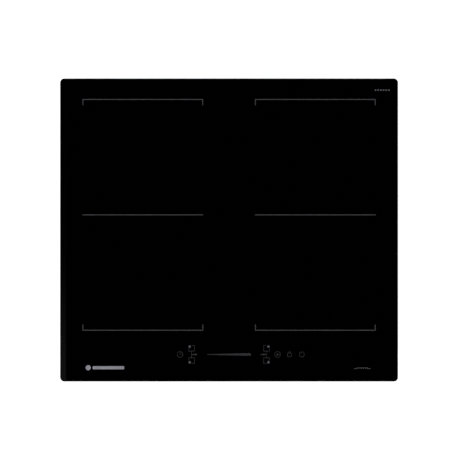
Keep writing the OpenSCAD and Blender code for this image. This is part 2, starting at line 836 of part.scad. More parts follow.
// ---- Controls ----
module control_housing() {
    color([0.13, 0.13, 0.14]) difference() {
        union() {
            block([ui_x[0], ui_y[0], ui_z], [ui_x[1], ui_y[1], glass_z]);
            for (x = [ui_x[0] + 8, ui_x[1] - 8], y = [ui_y[0] + 8, ui_y[1] - 8])
                translate([x, y, plate_top]) cylinder(r = 4, h = ui_z - plate_top + eps);
        }
        block([ui_x[0] + ui_wall, ui_y[0] + ui_wall, ui_z + ui_wall],
            [ui_x[1] - ui_wall, ui_y[1] - ui_wall, glass_z + 1]);
        translate([0, cable_y, ui_z - 1]) cylinder(r = 2.4, h = 4);
    }
    color([0.13, 0.13, 0.14]) for (x = [ui_x[0] + 20 : 53 : ui_x[1] - 20], y = [ui_y[0] + 6, ui_y[1] - 6])
        translate([x, y, ui_z + ui_wall - eps]) cylinder(r = 2, h = ui_board_z - ui_z - ui_wall + eps);
}

module control_board() {
    color([0.13, 0.3, 0.16]) block([ui_x[0] + 2.5, ui_y[0] + 2.5, ui_board_z],
        [ui_x[1] - 2.5, ui_y[1] - 2.5, ui_board_top]);
}

module touch_springs() {
    color("silver") slab(ui_board_top, glass_z) for (p = key_spots) translate(p) ring_mark(4, 1);
}

// ---- Wiring ----
// Where plugs stand on a power board
function plug_spots(side) = concat(
    [for (y = [board_link_y, link_back_y]) [side * link_x, y]],
    [[side * board_x + fan_dx, cable_end_y]],
    side > 0 ? [[link_x, cable_end_y]] : [],
    [for (i = [0 : 3]) if (CORNER_SIGNS[i][0] == side) zone_centre(i) + sensor_plug]);

module coil_leads() {
    top = board_top + post_h;
    color([0.85, 0.5, 0.2]) at_zones() for (sx = [-1, 1])
        translate([sx * lead_dx, 0, 0]) wire([
            [0, lead_dy, winding_z], [0, lead_dy, -12], [0, lead_dy, -22], [0, post_dy - 2, -31],
            [0, post_dy, top + 2], [0, post_dy, top]], lead_d);
}

module signal_cables() {
    top = board_top + plug_h;
    color([0.75, 0.75, 0.73]) {
        wire([[0, cable_y, ui_board_z], [0, cable_y, -18], [0, cable_y, -30], [0, cable_y + 20, -38],
              [0, -120, -38], [14, -100, -30], [link_x, cable_end_y, -29],
              [link_x, cable_end_y, top + 2], [link_x, cable_end_y, top]], 3);
        wire([[link_x, board_link_y, top], [link_x, board_link_y, top + 3], [20, board_link_y, -29],
              [-20, board_link_y, -29], [-link_x, board_link_y, top + 3],
              [-link_x, board_link_y, top]], 2.4);
        for (sx = [-1, 1]) translate([sx * board_x + fan_dx, 0, 0])
            wire([[0, fan_y + 21, -21.1], [0, -122, -21.1], [0, -108, -21.6], [0, cable_end_y - 6, -27],
                  [0, cable_end_y, top + 2], [0, cable_end_y, top]], 1.4);
        at_zones() wire([[0, 0, carrier_z - stem_l], [0, 0, -14], [0, 0, -22],
            [sensor_plug[0] - 4, sensor_plug[1], -30], [sensor_plug[0], sensor_plug[1], top + 2],
            [sensor_plug[0], sensor_plug[1], top]], 1.8);
    }
}

module mains_leads() {
    top = board_top + plug_h;
    tints = [[0.35, 0.2, 0.1], [0.15, 0.3, 0.7], [0.35, 0.55, 0.15]];
    for (i = [0 : 2]) let (x = pole_x0 + pole_pitch * (i + 1))
        color(tints[i]) wire([[x, block_y[0], inlet_z], [x, block_y[0] - 4, inlet_z],
            [x + 0.8, block_y[0] - 7.5, inlet_z], [x, filter_plug_y + 8, inlet_z],
            [x, filter_plug_y + 4, inlet_z]], 2.6, 3, 10);
    for (i = [0, 1]) let (x0 = filter_link_xs[i], x1 = (2 * i - 1) * link_x, y = filter_link_y)
        color(tints[1 - i]) wire([[x0, y, top], [x0, y, top + 3],
            [x0 - 4, y - 6.5, -25 - 4 * i], [x1 + 5, 130, -27], [x1, link_back_y, top + 3],
            [x1, link_back_y, top]], 2.6);
}

// ---- Mains connection ----
module hinge_ear(x) {
    translate([x, hinge_y, hinge_z]) rotate([0, 90, 0]) cylinder(r = 3, h = tb_wall);
}

module hinge_eye(x) {
    translate([x - 1, hinge_y, hinge_z]) rotate([0, 90, 0])
        cylinder(r = pin_r + pin_gap, h = tb_wall + 2);
}

// Open at the back, where the cover closes it, and at the end that the gland plate closes
module terminal_box() {
    w = tb_wall;
    open_end = tb_x[1] - w;
    color([0.2, 0.2, 0.21]) difference() {
        union() {
            difference() {
                block([tb_x[0], tb_y[0], tb_z[0]], [open_end, tb_y[1], tb_z[1]]);
                block([tb_x[0] + w, tb_y[0] + w, tb_z[0] + w],
                    [open_end + 1, tb_y[1] + 1, tb_z[1] - w]);
                block([tb_x[0] + w, hinge_y - barrel_r - 0.4, tb_z[0] - 1],
                    [open_end + 1, tb_y[1] + 1, -45]);
                mains_pass(tb_y[0]);
            }
            hinge_ear(tb_x[0]);
            for (y = clamp_bar_ys) translate([clamp_bar_x, y, tb_z[0] + w - eps])
                cylinder(r = 3.2, h = clamp_bar_z - tb_z[0] - w);
        }
        hinge_eye(tb_x[0]);
        for (x = [tb_x[0] + 6, tb_x[1] - 6]) translate([x, tb_fix_y, tb_z[1] - w - 1])
            cylinder(r = screw_r + hole_gap, h = w + 2);
        for (y = clamp_bar_ys) translate([clamp_bar_x, y, clamp_bar_z - 6])
            cylinder(r = screw_r + hole_gap, h = 7);
    }
}

// The end of the terminal box that carries the grommet
module gland_plate() {
    x0 = tb_x[1] - tb_wall;
    color([0.2, 0.2, 0.21]) difference() {
        union() {
            block([x0, tb_y[0], tb_z[0]], [tb_x[1], tb_y[1], tb_z[1]]);
            hinge_ear(x0);
        }
        hinge_eye(x0);
        translate([x0 - 1, inlet_y, inlet_z]) rotate([0, 90, 0])
            cylinder(r = inlet_r + 1.5, h = tb_wall + 2);
    }
}

module cable_clamp_bar() {
    color([0.3, 0.3, 0.31]) difference() {
        translate([clamp_bar_x, inlet_y, 0]) slab(clamp_bar_z, clamp_bar_z + clamp_bar_t)
            rounded_rect(7, 26, 3);
        for (y = clamp_bar_ys) translate([clamp_bar_x, y, clamp_bar_z - 1])
            cylinder(r = screw_r + hole_gap, h = 4);
    }
}

module terminal_block() {
    z0 = tb_z[0] + tb_wall;
    back = block_y[1];
    color([0.88, 0.87, 0.83]) difference() {
        block([pole_x0 - 7, block_y[0], z0], [pole_x0 + (poles - 1) * pole_pitch + 7, back, -36]);
        for (i = [0 : poles - 1]) translate([pole_x0 + i * pole_pitch, back + 1, 0]) {
            translate([0, 0, pole_screw_z]) rotate([90, 0, 0]) cylinder(r = 3.2, h = 4);
            translate([0, 0, pole_screw_z - 7]) rotate([90, 0, 0]) cylinder(r = 2, h = 9);
        }
        for (i = [0 : poles - 2]) translate([pole_x0 + (i + 0.5) * pole_pitch - 0.5, back - 3, z0 + 2])
            cube([1, 4, 20]);
    }
}

module terminal_screws() {
    color("gainsboro") {
        for (i = [0 : poles - 1]) translate([pole_x0 + i * pole_pitch, block_y[1] - 3, pole_screw_z])
            rotate([90, 0, 180]) difference() {
                cylinder(r = 2.9, h = 2);
                translate([-3, -0.4, 1.2]) cube([6, 0.8, 1]);
            }
        for (y = clamp_bar_ys) translate([clamp_bar_x, y, clamp_bar_z + clamp_bar_t])
            screw(screw_r, 7, 2.6, 1.6);
    }
}

// A flanged ring pushed into the hole in the gland plate
module inlet_grommet() {
    w = tb_wall;
    color([0.05, 0.05, 0.05]) translate([tb_x[1] - w, inlet_y, inlet_z]) rotate([0, 90, 0])
        rotate_extrude() polygon([
            [inlet_r, -1.5], [inlet_r + 3, -1.5], [inlet_r + 3, 0], [inlet_r + 1.5, 0],
            [inlet_r + 1.5, w], [inlet_r + 3, w], [inlet_r + 3, w + 1.5], [inlet_r, w + 1.5]]);
}

module terminal_cover() {
    gap = 0.4;
    x0 = tb_x[0] + tb_wall + gap;
    l = tb_x[1] - tb_x[0] - 2 * (tb_wall + gap);
    back = hinge_y + barrel_r;
    color([0.2, 0.2, 0.21]) {
        translate([x0, hinge_y, hinge_z]) rotate([0, 90, 0]) cylinder(r = barrel_r, h = l);
        block([x0, hinge_y + 0.3, hinge_z], [x0 + l, back, tb_z[1] - 0.6]);
        for (i = [0 : 4]) block([x0 + 12 + 17 * i, back - eps, hinge_z + 5],
            [x0 + 15 + 17 * i, back + 0.5, tb_z[1] - 5]);
        translate([tb_x[0] + 0.2, hinge_y, hinge_z]) rotate([0, 90, 0])
            cylinder(r = pin_r, h = tb_x[1] - tb_x[0] - 0.4);
    }
}

// ---- Worktop clamps ----
// A strip that is stowed under the shoulder and swings out under the worktop
module worktop_clamp(s) {
    arm = clamp_l - clamp_w / 2;
    color([0.75, 0.76, 0.78]) translate([s[0] * clamp_x, s[1] * clamp_y, 0]) difference() {
        union() {
            slab(clamp_top - clamp_t, clamp_top) {
                circle(clamp_w / 2);
                translate([-clamp_w / 2, s[1] > 0 ? -arm : 0]) square([clamp_w, arm]);
            }
            slab(clamp_top - 8, clamp_top) translate([-clamp_w / 2, s[1] > 0 ? -arm : arm - clamp_t])
                square([clamp_w, clamp_t]);
        }
        translate([0, 0, clamp_top - clamp_t - 1])
            cylinder(r = clamp_screw_r + clamp_gap, h = clamp_t + 2);
    }
}

module clamp_screws() {
    color("gainsboro") for (s = CORNER_SIGNS)
        translate([s[0] * clamp_x, s[1] * clamp_y, clamp_top - clamp_t - 0.5]) rotate([180, 0, 0])
            screw(clamp_screw_r, 10, 5, 2.6);
}

// ---- One line for each piece ----
glass_top();
zone_markings();
control_markings();
badge_markings();
worktop_gasket();
glass_bond();
glass_frame();
casing_rim();
base_tray();
casing_screws();
electronics_tray();
inner_screws();
filter_board();
filter_parts();
power_transistors();
control_housing();
control_board();
touch_springs();
mica_sheets();
coil_springs();
temperature_sensors();
coil_leads();
signal_cables();
mains_leads();
terminal_box();
gland_plate();
terminal_block();
terminal_screws();
inlet_grommet();
cable_clamp_bar();
terminal_cover();
clamp_screws();
for (i = [0, 1]) let (side = 2 * i - 1, name = SIDES[i]) {
    coil_plate(side);
    power_board(side);
    heat_sink(side);
    board_parts(side);
    ferrite_bars(side);
    fan_housing(side);
    fan_cover(side);
    fan_wheel(side);
}
for (i = [0 : 3]) let (name = CORNERS[i]) {
    translate(zone_centre(i)) coil_winding();
    translate(zone_centre(i)) coil_carrier();
    worktop_clamp(CORNER_SIGNS[i]);
}
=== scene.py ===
"""Looks of the built-in induction hob: materials, finer pieces, studio and camera.

Metres, in the CAD frame: +X right, +Y back, +Z up. The origin is the centre of the worktop
opening on the worktop's surface, and the row of controls is at the front, -Y.
"""

import math

import bmesh
import bpy
from mathutils import Matrix, Vector


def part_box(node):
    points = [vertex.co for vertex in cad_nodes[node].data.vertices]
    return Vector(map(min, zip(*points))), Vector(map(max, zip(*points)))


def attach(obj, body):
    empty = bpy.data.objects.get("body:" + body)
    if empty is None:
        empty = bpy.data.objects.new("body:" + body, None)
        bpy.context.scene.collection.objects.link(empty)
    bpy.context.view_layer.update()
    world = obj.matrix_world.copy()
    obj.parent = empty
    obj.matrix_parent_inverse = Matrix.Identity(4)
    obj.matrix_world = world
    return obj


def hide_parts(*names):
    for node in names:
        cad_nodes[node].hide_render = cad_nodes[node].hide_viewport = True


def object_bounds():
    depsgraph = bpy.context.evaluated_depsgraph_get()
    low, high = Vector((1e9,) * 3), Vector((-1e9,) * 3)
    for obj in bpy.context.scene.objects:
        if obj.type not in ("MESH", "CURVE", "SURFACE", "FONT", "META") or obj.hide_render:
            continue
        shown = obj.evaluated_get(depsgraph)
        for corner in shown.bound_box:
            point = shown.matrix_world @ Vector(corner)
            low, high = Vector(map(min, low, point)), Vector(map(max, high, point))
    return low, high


MM = 0.001
MIX_A, MIX_B, MIX_OUT = 6, 7, 2  # the Mix node's colour sockets
ROOT = "hob"
SIDES = {"left": -1, "right": 1}
CORNERS = ("front_left", "rear_left", "front_right", "rear_right")

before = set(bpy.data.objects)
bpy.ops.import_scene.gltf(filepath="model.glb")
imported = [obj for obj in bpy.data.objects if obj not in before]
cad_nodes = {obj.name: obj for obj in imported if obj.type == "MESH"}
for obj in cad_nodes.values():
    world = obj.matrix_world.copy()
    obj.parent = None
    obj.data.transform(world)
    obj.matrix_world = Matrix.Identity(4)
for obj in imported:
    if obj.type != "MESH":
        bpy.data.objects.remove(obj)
cad_low, cad_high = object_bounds()


# ---- Materials ----
class Shader:
    """A material with the Principled shader at its end and short names for its nodes."""

    def __init__(self, name, metallic=0.0, ior=1.5, coat=0.0, coat_roughness=0.05):
        self.material = bpy.data.materials.new(name)
        self.material.use_nodes = True
        self.tree = self.material.node_tree
        self.bsdf = self.tree.nodes["Principled BSDF"]
        for socket, value in (
            ("Metallic", metallic),
            ("IOR", ior),
            ("Coat Weight", coat),
            ("Coat Roughness", coat_roughness),
        ):
            self.bsdf.inputs[socket].default_value = value
        self.place = self.node("TexCoord").outputs["Object"]

    def node(self, kind, **settings):
        made = self.tree.nodes.new("ShaderNode" + kind)
        for key, value in settings.items():
            setattr(made, key, value)
        return made

    def feed(self, socket, value):
        """Links an output to a socket, or sets the socket's own value."""
        if isinstance(value, bpy.types.NodeSocket):
            self.tree.links.new(value, socket)
        else:
            socket.default_value = value

    def to(self, name, value):
        self.feed(self.bsdf.inputs[name], value)

    def stretched(self, stretch):
        mapping = self.node("Mapping")
        mapping.inputs["Scale"].default_value = stretch
        self.feed(mapping.inputs["Vector"], self.place)
        return mapping.outputs["Vector"]

    def noise(self, scale, detail=4.0, stretch=None, distortion=0.0):
        made = self.node("TexNoise")
        made.inputs["Scale"].default_value = scale
        made.inputs["Detail"].default_value = detail
        made.inputs["Distortion"].default_value = distortion
        self.feed(made.inputs["Vector"], self.stretched(stretch) if stretch else self.place)
        return made.outputs["Fac"]

    def cells(self, scale, feature="F1", output="Distance", place=None):
        made = self.node("TexVoronoi", feature=feature)
        made.inputs["Scale"].default_value = scale
        self.feed(made.inputs["Vector"], place or self.place)
        return made.outputs[output]

    def math(self, operation, a, b=0.0, c=0.0):
        made = self.node("Math", operation=operation)
        for socket, value in zip(made.inputs, (a, b, c)):
            self.feed(socket, value)
        return made.outputs[0]

    def spread(self, fac, low, high, start=0.0, end=1.0):
        made = self.node("MapRange", clamp=True)
        for socket, value in zip(made.inputs, (fac, start, end, low, high)):
            self.feed(socket, value)
        return made.outputs[0]

    def ramp(self, fac, *stops):
        """A colour ramp from (place, colour) stops."""
        made = self.node("ValToRGB")
        elements = made.color_ramp.elements
        while len(elements) < len(stops):
            elements.new(0.5)
        for element, (place, colour) in zip(elements, stops):
            element.position = place
            element.color = (*colour, 1.0)
        self.feed(made.inputs["Fac"], fac)
        return made.outputs["Color"]

    def mix(self, fac, a, b):
        made = self.node("Mix", data_type="RGBA")
        self.feed(made.inputs["Factor"], fac)
        for socket, value in ((MIX_A, a), (MIX_B, b)):
            self.feed(made.inputs[socket], (*value, 1.0) if isinstance(value, tuple) else value)
        return made.outputs[MIX_OUT]

    def bump(self, height, distance, below=None):
        made = self.node("Bump")
        made.inputs["Distance"].default_value = distance
        self.feed(made.inputs["Height"], height)
        if below:
            self.feed(made.inputs["Normal"], below)
        return made.outputs["Normal"]

    def soft_edges(self, radius):
        """A normal that rolls over the edges of a CAD solid."""
        made = self.node("Bevel")
        made.samples = 4
        made.inputs["Radius"].default_value = radius
        return made.outputs["Normal"]


def surface(name, dark, light, rough, metallic=0.0, cloud=35.0, grain=2600.0, stretch=None,
            relief=0.00001, edge=0.0002):
    """A moulded, cast, rolled or drawn finish: cloudy colour, fine grain and soft edges."""
    s = Shader(name, metallic=metallic)
    clouds = s.noise(cloud, detail=6.0)
    fine = s.noise(grain, detail=2.0, stretch=stretch)
    s.to("Base Color", s.ramp(s.math("MULTIPLY_ADD", fine, 0.35, s.math("MULTIPLY", clouds, 0.65)),
                              (0.3, dark), (0.7, light)))
    s.to("Roughness", s.spread(s.math("MULTIPLY_ADD", fine, 0.5, s.math("MULTIPLY", clouds, 0.5)),
                               rough[0], rough[1], 0.3, 0.7))
    s.to("Normal", s.bump(fine, relief, s.soft_edges(edge) if edge else None))
    return s.material


def black_glass():
    """Polished black glass ceramic: wiped top, satin ground bevels, faint stippled underside."""
    s = Shader("black_glass", ior=1.54)
    wipes = s.noise(9.0, detail=5.0, stretch=(0.5, 2.2, 1.0), distortion=0.6)
    specks = s.noise(900.0, detail=2.0)
    s.to("Base Color", s.ramp(specks, (0.35, (0.0001, 0.0001, 0.00011)), (0.75, (0.0003, 0.0003, 0.00033))))
    split = s.node("SeparateXYZ")
    s.feed(split.inputs[0], s.place)
    from_middle = s.math("ABSOLUTE", split.outputs["X"])
    ground = s.spread(from_middle, 0.0, 1.0, cad_high.x - 0.0104, cad_high.x - 0.0096)
    polished = s.spread(wipes, 0.035, 0.075, 0.35, 0.7)
    s.to("Roughness", s.math("MULTIPLY_ADD", ground, 0.03, polished))
    stipple = s.cells(330.0, feature="SMOOTH_F1")
    under = s.spread(split.outputs["Z"], 1.0, 0.0, 0.0016, 0.0018)
    s.to("Normal", s.bump(s.math("MULTIPLY", stipple, under), 0.00025, s.soft_edges(0.0003)))
    return s.material


def fired_ink(name, dark, light, gain=1.0, beyond=0.0):
    """Ceramic ink printed through a fine screen and fired into the glass.

    Past the X in beyond, on the side away from the middle, the print is denser by gain.
    """
    s = Shader(name, ior=1.52)
    screen = s.cells(1500.0)
    drift = s.noise(120.0, detail=3.0)
    mottle = s.math("MULTIPLY_ADD", drift, 0.5, s.math("MULTIPLY", screen, 0.6))
    ink = s.ramp(mottle, (0.25, light), (0.75, dark))
    if gain != 1.0:
        dense = s.ramp(mottle, (0.25, tuple(c * gain for c in light)), (0.75, tuple(c * gain for c in dark)))
        split = s.node("SeparateXYZ")
        s.feed(split.inputs[0], s.place)
        side = "LESS_THAN" if beyond < 0 else "GREATER_THAN"
        ink = s.mix(s.math(side, split.outputs["X"], beyond), ink, dense)
    s.to("Base Color", ink)
    s.to("Roughness", s.spread(drift, 0.3, 0.42, 0.3, 0.7))
    s.to("Normal", s.bump(screen, 0.000015))
    return s.material


def galvanised(name="galvanised_steel", tint=(1.0, 1.0, 1.0)):
    """Zinc-coated sheet: spangle grains of slightly different tone, rolling lines, soft bends."""
    s = Shader(name, metallic=1.0)
    warped = s.node("VectorMath", operation="ADD")
    s.feed(warped.inputs[0], s.place)
    wander = s.node("TexNoise")
    wander.inputs["Scale"].default_value = 90.0
    s.feed(wander.inputs["Vector"], s.place)
    shrunk = s.node("VectorMath", operation="SCALE")
    s.feed(shrunk.inputs[0], wander.outputs["Color"])
    shrunk.inputs["Scale"].default_value = 0.009
    s.feed(warped.inputs[1], shrunk.outputs[0])
    spangle = s.node("SeparateColor")
    s.feed(spangle.inputs[0], s.cells(150.0, output="Color", place=warped.outputs[0]))
    tone = s.math("MULTIPLY_ADD", s.noise(14.0, detail=5.0), 0.5, s.math("MULTIPLY", spangle.outputs[0], 0.5))
    low, high = (tuple(c * t for c, t in zip(v, tint)) for v in ((0.46, 0.475, 0.49), (0.6, 0.61, 0.62)))
    s.to("Base Color", s.ramp(tone, (0.2, low), (0.8, high)))
    s.to("Roughness", s.spread(spangle.outputs[1], 0.36, 0.46))
    rolled = s.noise(1500.0, detail=2.0, stretch=(1.0, 0.04, 1.0))
    s.to("Normal", s.bump(rolled, 0.000008, s.bump(spangle.outputs[2], 0.00001, s.soft_edges(0.0006))))
    return s.material


TRACK_PITCH = 0.0017


def solder_mask():
    """Green laminate: bundles of copper tracks and solid pours under the mask, and bare pads."""
    s = Shader("solder_mask", ior=1.5, coat=0.4, coat_roughness=0.15)
    field = s.node("TexVoronoi", distance="CHEBYCHEV")
    field.inputs["Scale"].default_value = 62.0
    s.feed(field.inputs["Vector"], s.place)
    draw = s.node("SeparateColor")
    s.feed(draw.inputs[0], field.outputs["Color"])
    split = s.node("SeparateXYZ")
    s.feed(split.inputs[0], s.place)
    along_x, along_y = (s.math("SINE", s.math("MULTIPLY", split.outputs[axis], 2 * math.pi / TRACK_PITCH))
                        for axis in ("Y", "X"))
    turned = s.math("GREATER_THAN", draw.outputs[0], 0.5)
    lines = s.math("ADD", s.math("MULTIPLY", along_x, s.math("SUBTRACT", 1.0, turned)),
                   s.math("MULTIPLY", along_y, turned))
    pours = s.math("GREATER_THAN", draw.outputs[1], 0.62)
    copper = s.math("MAXIMUM", s.spread(lines, 0.0, 1.0, 0.1, 0.25), pours)
    tracks = s.mix(copper, (0.012, 0.062, 0.022), (0.026, 0.12, 0.042))
    weave = s.noise(3000.0, detail=1.0)
    pads = s.spread(s.cells(140.0), 1.0, 0.0, 0.1, 0.13)
    s.to("Base Color", s.mix(pads, tracks, (0.62, 0.52, 0.3)))
    s.to("Metallic", pads)
    s.to("Roughness", s.spread(weave, 0.28, 0.42, 0.3, 0.7))
    s.to("Normal", s.bump(copper, 0.00003, s.bump(weave, 0.000006)))
    return s.material


def stranded(name, dark, light, pitch=0.012, strands=7.0, metallic=1.0, rough=(0.3, 0.5), relief=0.00012):
    """Wire whose strands run round it, drawn along the tube's own U (metres) and V (turns). Between two
    copper tones the colour is painted shade in the grooves between strands and a painted highlight on their
    crests; between two insulation colours the same pattern is a printed stripe.
    """
    s = Shader(name, metallic=metallic)
    split = s.node("SeparateXYZ")
    s.feed(split.inputs[0], s.node("UVMap", uv_map="along").outputs[0])
    round_it = s.math("MULTIPLY", split.outputs["Y"], strands)
    turns = s.math("MULTIPLY_ADD", split.outputs["X"], 1.0 / pitch, round_it)
    ridge = s.math("ABSOLUTE", s.math("SINE", s.math("MULTIPLY", turns, math.pi)))
    dust = s.noise(60.0, detail=4.0)
    # Painted shade and highlight: the colour is darker in the grooves between strands and lighter on their
    # crests (for insulation colours, a printed stripe)
    s.to("Base Color", s.ramp(s.math("MULTIPLY_ADD", dust, 0.3, s.math("MULTIPLY", ridge, 0.7)),
                              (0.15, dark), (0.8, light)))
    s.to("Roughness", s.spread(dust, rough[0], rough[1], 0.3, 0.7))
    s.to("Normal", s.bump(ridge, relief))
    return s.material


def brushed(name, dark, light, rough, stretch, relief=0.000012, edge=0.0003):
    return surface(name, dark, light, rough, metallic=1.0, grain=900.0, stretch=stretch,
                   relief=relief, edge=edge)


def foam(name, dark, light):
    """Closed-cell foam: small round cells in the surface."""
    s = Shader(name)
    pores = s.cells(1300.0, feature="SMOOTH_F1")
    s.to("Base Color", s.ramp(pores, (0.2, light), (0.8, dark)))
    s.to("Roughness", s.spread(s.noise(300.0), 0.8, 0.95, 0.3, 0.7))
    s.to("Normal", s.bump(pores, 0.00015))
    return s.material


M = {
    "glass": black_glass(),
    "ink": fired_ink("grey_ink", (0.073, 0.073, 0.079), (0.13, 0.13, 0.14)),
    "control_ink": fired_ink("control_ink", (0.04, 0.04, 0.043), (0.085, 0.085, 0.09), gain=2.2, beyond=0.2),
    "bright_ink": fired_ink("bright_ink", (0.125, 0.125, 0.137), (0.22, 0.22, 0.24), gain=2.8, beyond=-0.17),
    "foam": foam("seal_foam", (0.012, 0.012, 0.012), (0.04, 0.04, 0.04)),
    "bond": surface("silicone_bond", (0.16, 0.16, 0.165), (0.22, 0.22, 0.22), (0.45, 0.6), relief=0.00003),
    "steel": galvanised(),
    "clamp_steel": galvanised("clamp_steel", (1.0, 0.98, 0.93)),
    "zinc": surface("zinc_plate", (0.5, 0.5, 0.46), (0.72, 0.71, 0.66), (0.22, 0.42), metallic=1.0,
                    cloud=300.0, grain=4000.0, edge=0.00015),
    "black": surface("black_moulding", (0.012, 0.012, 0.013), (0.026, 0.026, 0.027), (0.42, 0.58),
                     grain=3200.0, relief=0.00003),
    "charcoal": surface("charcoal_moulding", (0.03, 0.03, 0.032), (0.055, 0.055, 0.057), (0.45, 0.6),
                        grain=3200.0, relief=0.00003),
    "cream": surface("cream_moulding", (0.55, 0.53, 0.46), (0.68, 0.66, 0.6), (0.4, 0.55), grain=3000.0,
                     relief=0.00002),
    "board": solder_mask(),
    "mica": surface("mica_laminate", (0.42, 0.38, 0.27), (0.66, 0.61, 0.48), (0.25, 0.5), grain=700.0,
                    cloud=80.0, stretch=(1.0, 0.35, 1.0), relief=0.00003, edge=0.0),
    "ferrite": surface("sintered_ferrite", (0.03, 0.03, 0.032), (0.07, 0.07, 0.072), (0.5, 0.75),
                       cloud=120.0, grain=1800.0, relief=0.00005, edge=0.0005),
    "plate": brushed("rolled_aluminium", (0.62, 0.63, 0.64), (0.82, 0.82, 0.83), (0.26, 0.42),
                     (1.0, 0.03, 1.0)),
    "sink": brushed("extruded_aluminium", (0.55, 0.56, 0.57), (0.78, 0.78, 0.79), (0.3, 0.45),
                    (1.0, 0.02, 1.0)),
    "spring": brushed("spring_wire", (0.5, 0.5, 0.5), (0.75, 0.75, 0.74), (0.2, 0.35),
                      (1.0, 1.0, 1.0), edge=0.0),
    "litz": stranded("enamelled_litz", (0.28, 0.09, 0.03), (0.85, 0.42, 0.2)),
    "sleeve": surface("silicone_sleeve", (0.5, 0.13, 0.02), (0.66, 0.2, 0.04), (0.4, 0.55),
                      grain=2000.0, edge=0.0),
    "sensor": surface("sensor_silicone", (0.55, 0.53, 0.5), (0.7, 0.68, 0.64), (0.5, 0.65), relief=0.00003),
    "grey_cable": surface("grey_cable", (0.28, 0.28, 0.29), (0.4, 0.4, 0.41), (0.4, 0.55), edge=0.0),
    "rubber": surface("grommet_rubber", (0.01, 0.01, 0.01), (0.022, 0.022, 0.022), (0.6, 0.8),
                      relief=0.00004),
    # Board components and wires
    "blue_case": surface("blue_case", (0.02, 0.06, 0.2), (0.035, 0.09, 0.28), (0.3, 0.42), relief=0.00002),
    "grey_case": surface("grey_case", (0.2, 0.21, 0.23), (0.3, 0.31, 0.33), (0.32, 0.45), relief=0.00002),
    "amber_case": surface("amber_case", (0.55, 0.36, 0.03), (0.7, 0.48, 0.06), (0.3, 0.42), relief=0.00002),
    "potting": surface("potting_resin", (0.02, 0.02, 0.022), (0.05, 0.05, 0.052), (0.15, 0.35), cloud=400.0),
    "can_sleeve": surface("can_sleeve", (0.012, 0.014, 0.03), (0.02, 0.025, 0.05), (0.22, 0.32), edge=0.0),
    "tape": surface("winding_tape", (0.55, 0.42, 0.05), (0.72, 0.56, 0.1), (0.3, 0.45), stretch=(1, 1, 0.1)),
    "copper": surface("enamelled_copper", (0.45, 0.13, 0.04), (0.8, 0.33, 0.14), (0.22, 0.36),
                      metallic=1.0, edge=0.0),
    "brass": surface("brass", (0.6, 0.42, 0.16), (0.8, 0.6, 0.28), (0.25, 0.4), metallic=1.0),
    "chip": surface("chip_epoxy", (0.015, 0.015, 0.016), (0.035, 0.035, 0.036), (0.5, 0.7),
                    relief=0.00003, edge=0.0),
    "lamp": surface("lamp_lens", (0.75, 0.75, 0.72), (0.9, 0.9, 0.87), (0.1, 0.2), edge=0.0),
    "fuse_glass": surface("fuse_body", (0.7, 0.68, 0.62), (0.85, 0.83, 0.78), (0.1, 0.25), edge=0.0),
    "green_terminal": surface("green_terminal", (0.05, 0.22, 0.07), (0.09, 0.32, 0.12), (0.4, 0.52)),
    "brown_wire": surface("brown_wire", (0.1, 0.04, 0.015), (0.16, 0.065, 0.03), (0.35, 0.5), edge=0.0),
    "blue_wire": surface("blue_wire", (0.02, 0.1, 0.4), (0.04, 0.16, 0.52), (0.35, 0.5), edge=0.0),
    "red_wire": surface("red_wire", (0.4, 0.01, 0.01), (0.55, 0.03, 0.02), (0.35, 0.5), edge=0.0),
    "earth_wire": stranded("earth_wire", (0.05, 0.3, 0.05), (0.75, 0.6, 0.04), pitch=1.0, strands=2.0,
                           metallic=0.0, rough=(0.35, 0.5), relief=0.0),
}

FINISH = {
    "glass_top": "glass", "zone_markings": "ink", "control_markings": "control_ink",
    "badge_markings": "bright_ink", "worktop_gasket": "foam", "glass_bond": "bond",
    "glass_frame": "steel", "casing_rim": "steel", "base_tray": "steel", "casing_screws": "zinc",
    "electronics_tray": "black", "inner_screws": "zinc", "filter_board": "board",
    "filter_parts": "charcoal", "power_transistors": "black", "control_housing": "black",
    "control_board": "board", "touch_springs": "spring", "mica_sheets": "mica",
    "coil_springs": "spring", "temperature_sensors": "sensor", "coil_leads": "sleeve",
    "signal_cables": "grey_cable", "mains_leads": "sleeve", "terminal_box": "charcoal",
    "gland_plate": "charcoal",
    "terminal_block": "cream", "terminal_screws": "zinc", "inlet_grommet": "rubber",
    "cable_clamp_bar": "charcoal", "terminal_cover": "charcoal", "clamp_screws": "zinc",
}
for side in SIDES:
    FINISH.update({
        f"coil_plate_{side}": "plate", f"power_board_{side}": "board", f"heat_sink_{side}": "sink",
        f"board_parts_{side}": "charcoal", f"ferrite_bars_{side}": "ferrite",
        f"fan_housing_{side}": "black", f"fan_cover_{side}": "black", f"fan_wheel_{side}": "charcoal",
    })
for corner in CORNERS:
    FINISH.update({f"coil_winding_{corner}": "litz", f"coil_carrier_{corner}": "cream",
                   f"worktop_clamp_{corner}": "clamp_steel"})

for name, cad in cad_nodes.items():
    cad.data.materials.clear()
    cad.data.materials.append(M[FINISH[name]])


# A table from the new pieces' finishes to the slot board_component; it is built and not kept, and nothing
# reads it
dict.fromkeys(("blue_case", "grey_case", "amber_case", "potting", "can_sleeve", "tape", "copper",
                           "brass", "chip", "lamp", "fuse_glass", "green_terminal"), "board_component")


# ---- Solids, in millimetres ----
# The smallest radius that a round corner or the tip of a turned solid gets
FINEST = 0.05


def rounded_outline(width, depth, radius, steps=4):
    """Points of a rectangle with round corners, anticlockwise about the origin."""
    points = []
    for quarter, (sx, sy) in enumerate(((1, 1), (-1, 1), (-1, -1), (1, -1))):
        centre = (sx * (width / 2 - radius), sy * (depth / 2 - radius))
        for step in range(steps + 1):
            angle = math.pi / 2 * (quarter + step / steps)
            points.append((centre[0] + radius * math.cos(angle), centre[1] + radius * math.sin(angle)))
    return points


def circle_outline(radius, count=24, turn=0.0):
    angles = [turn + 2 * math.pi * i / count for i in range(count)]
    return [(radius * math.cos(angle), radius * math.sin(angle)) for angle in angles]


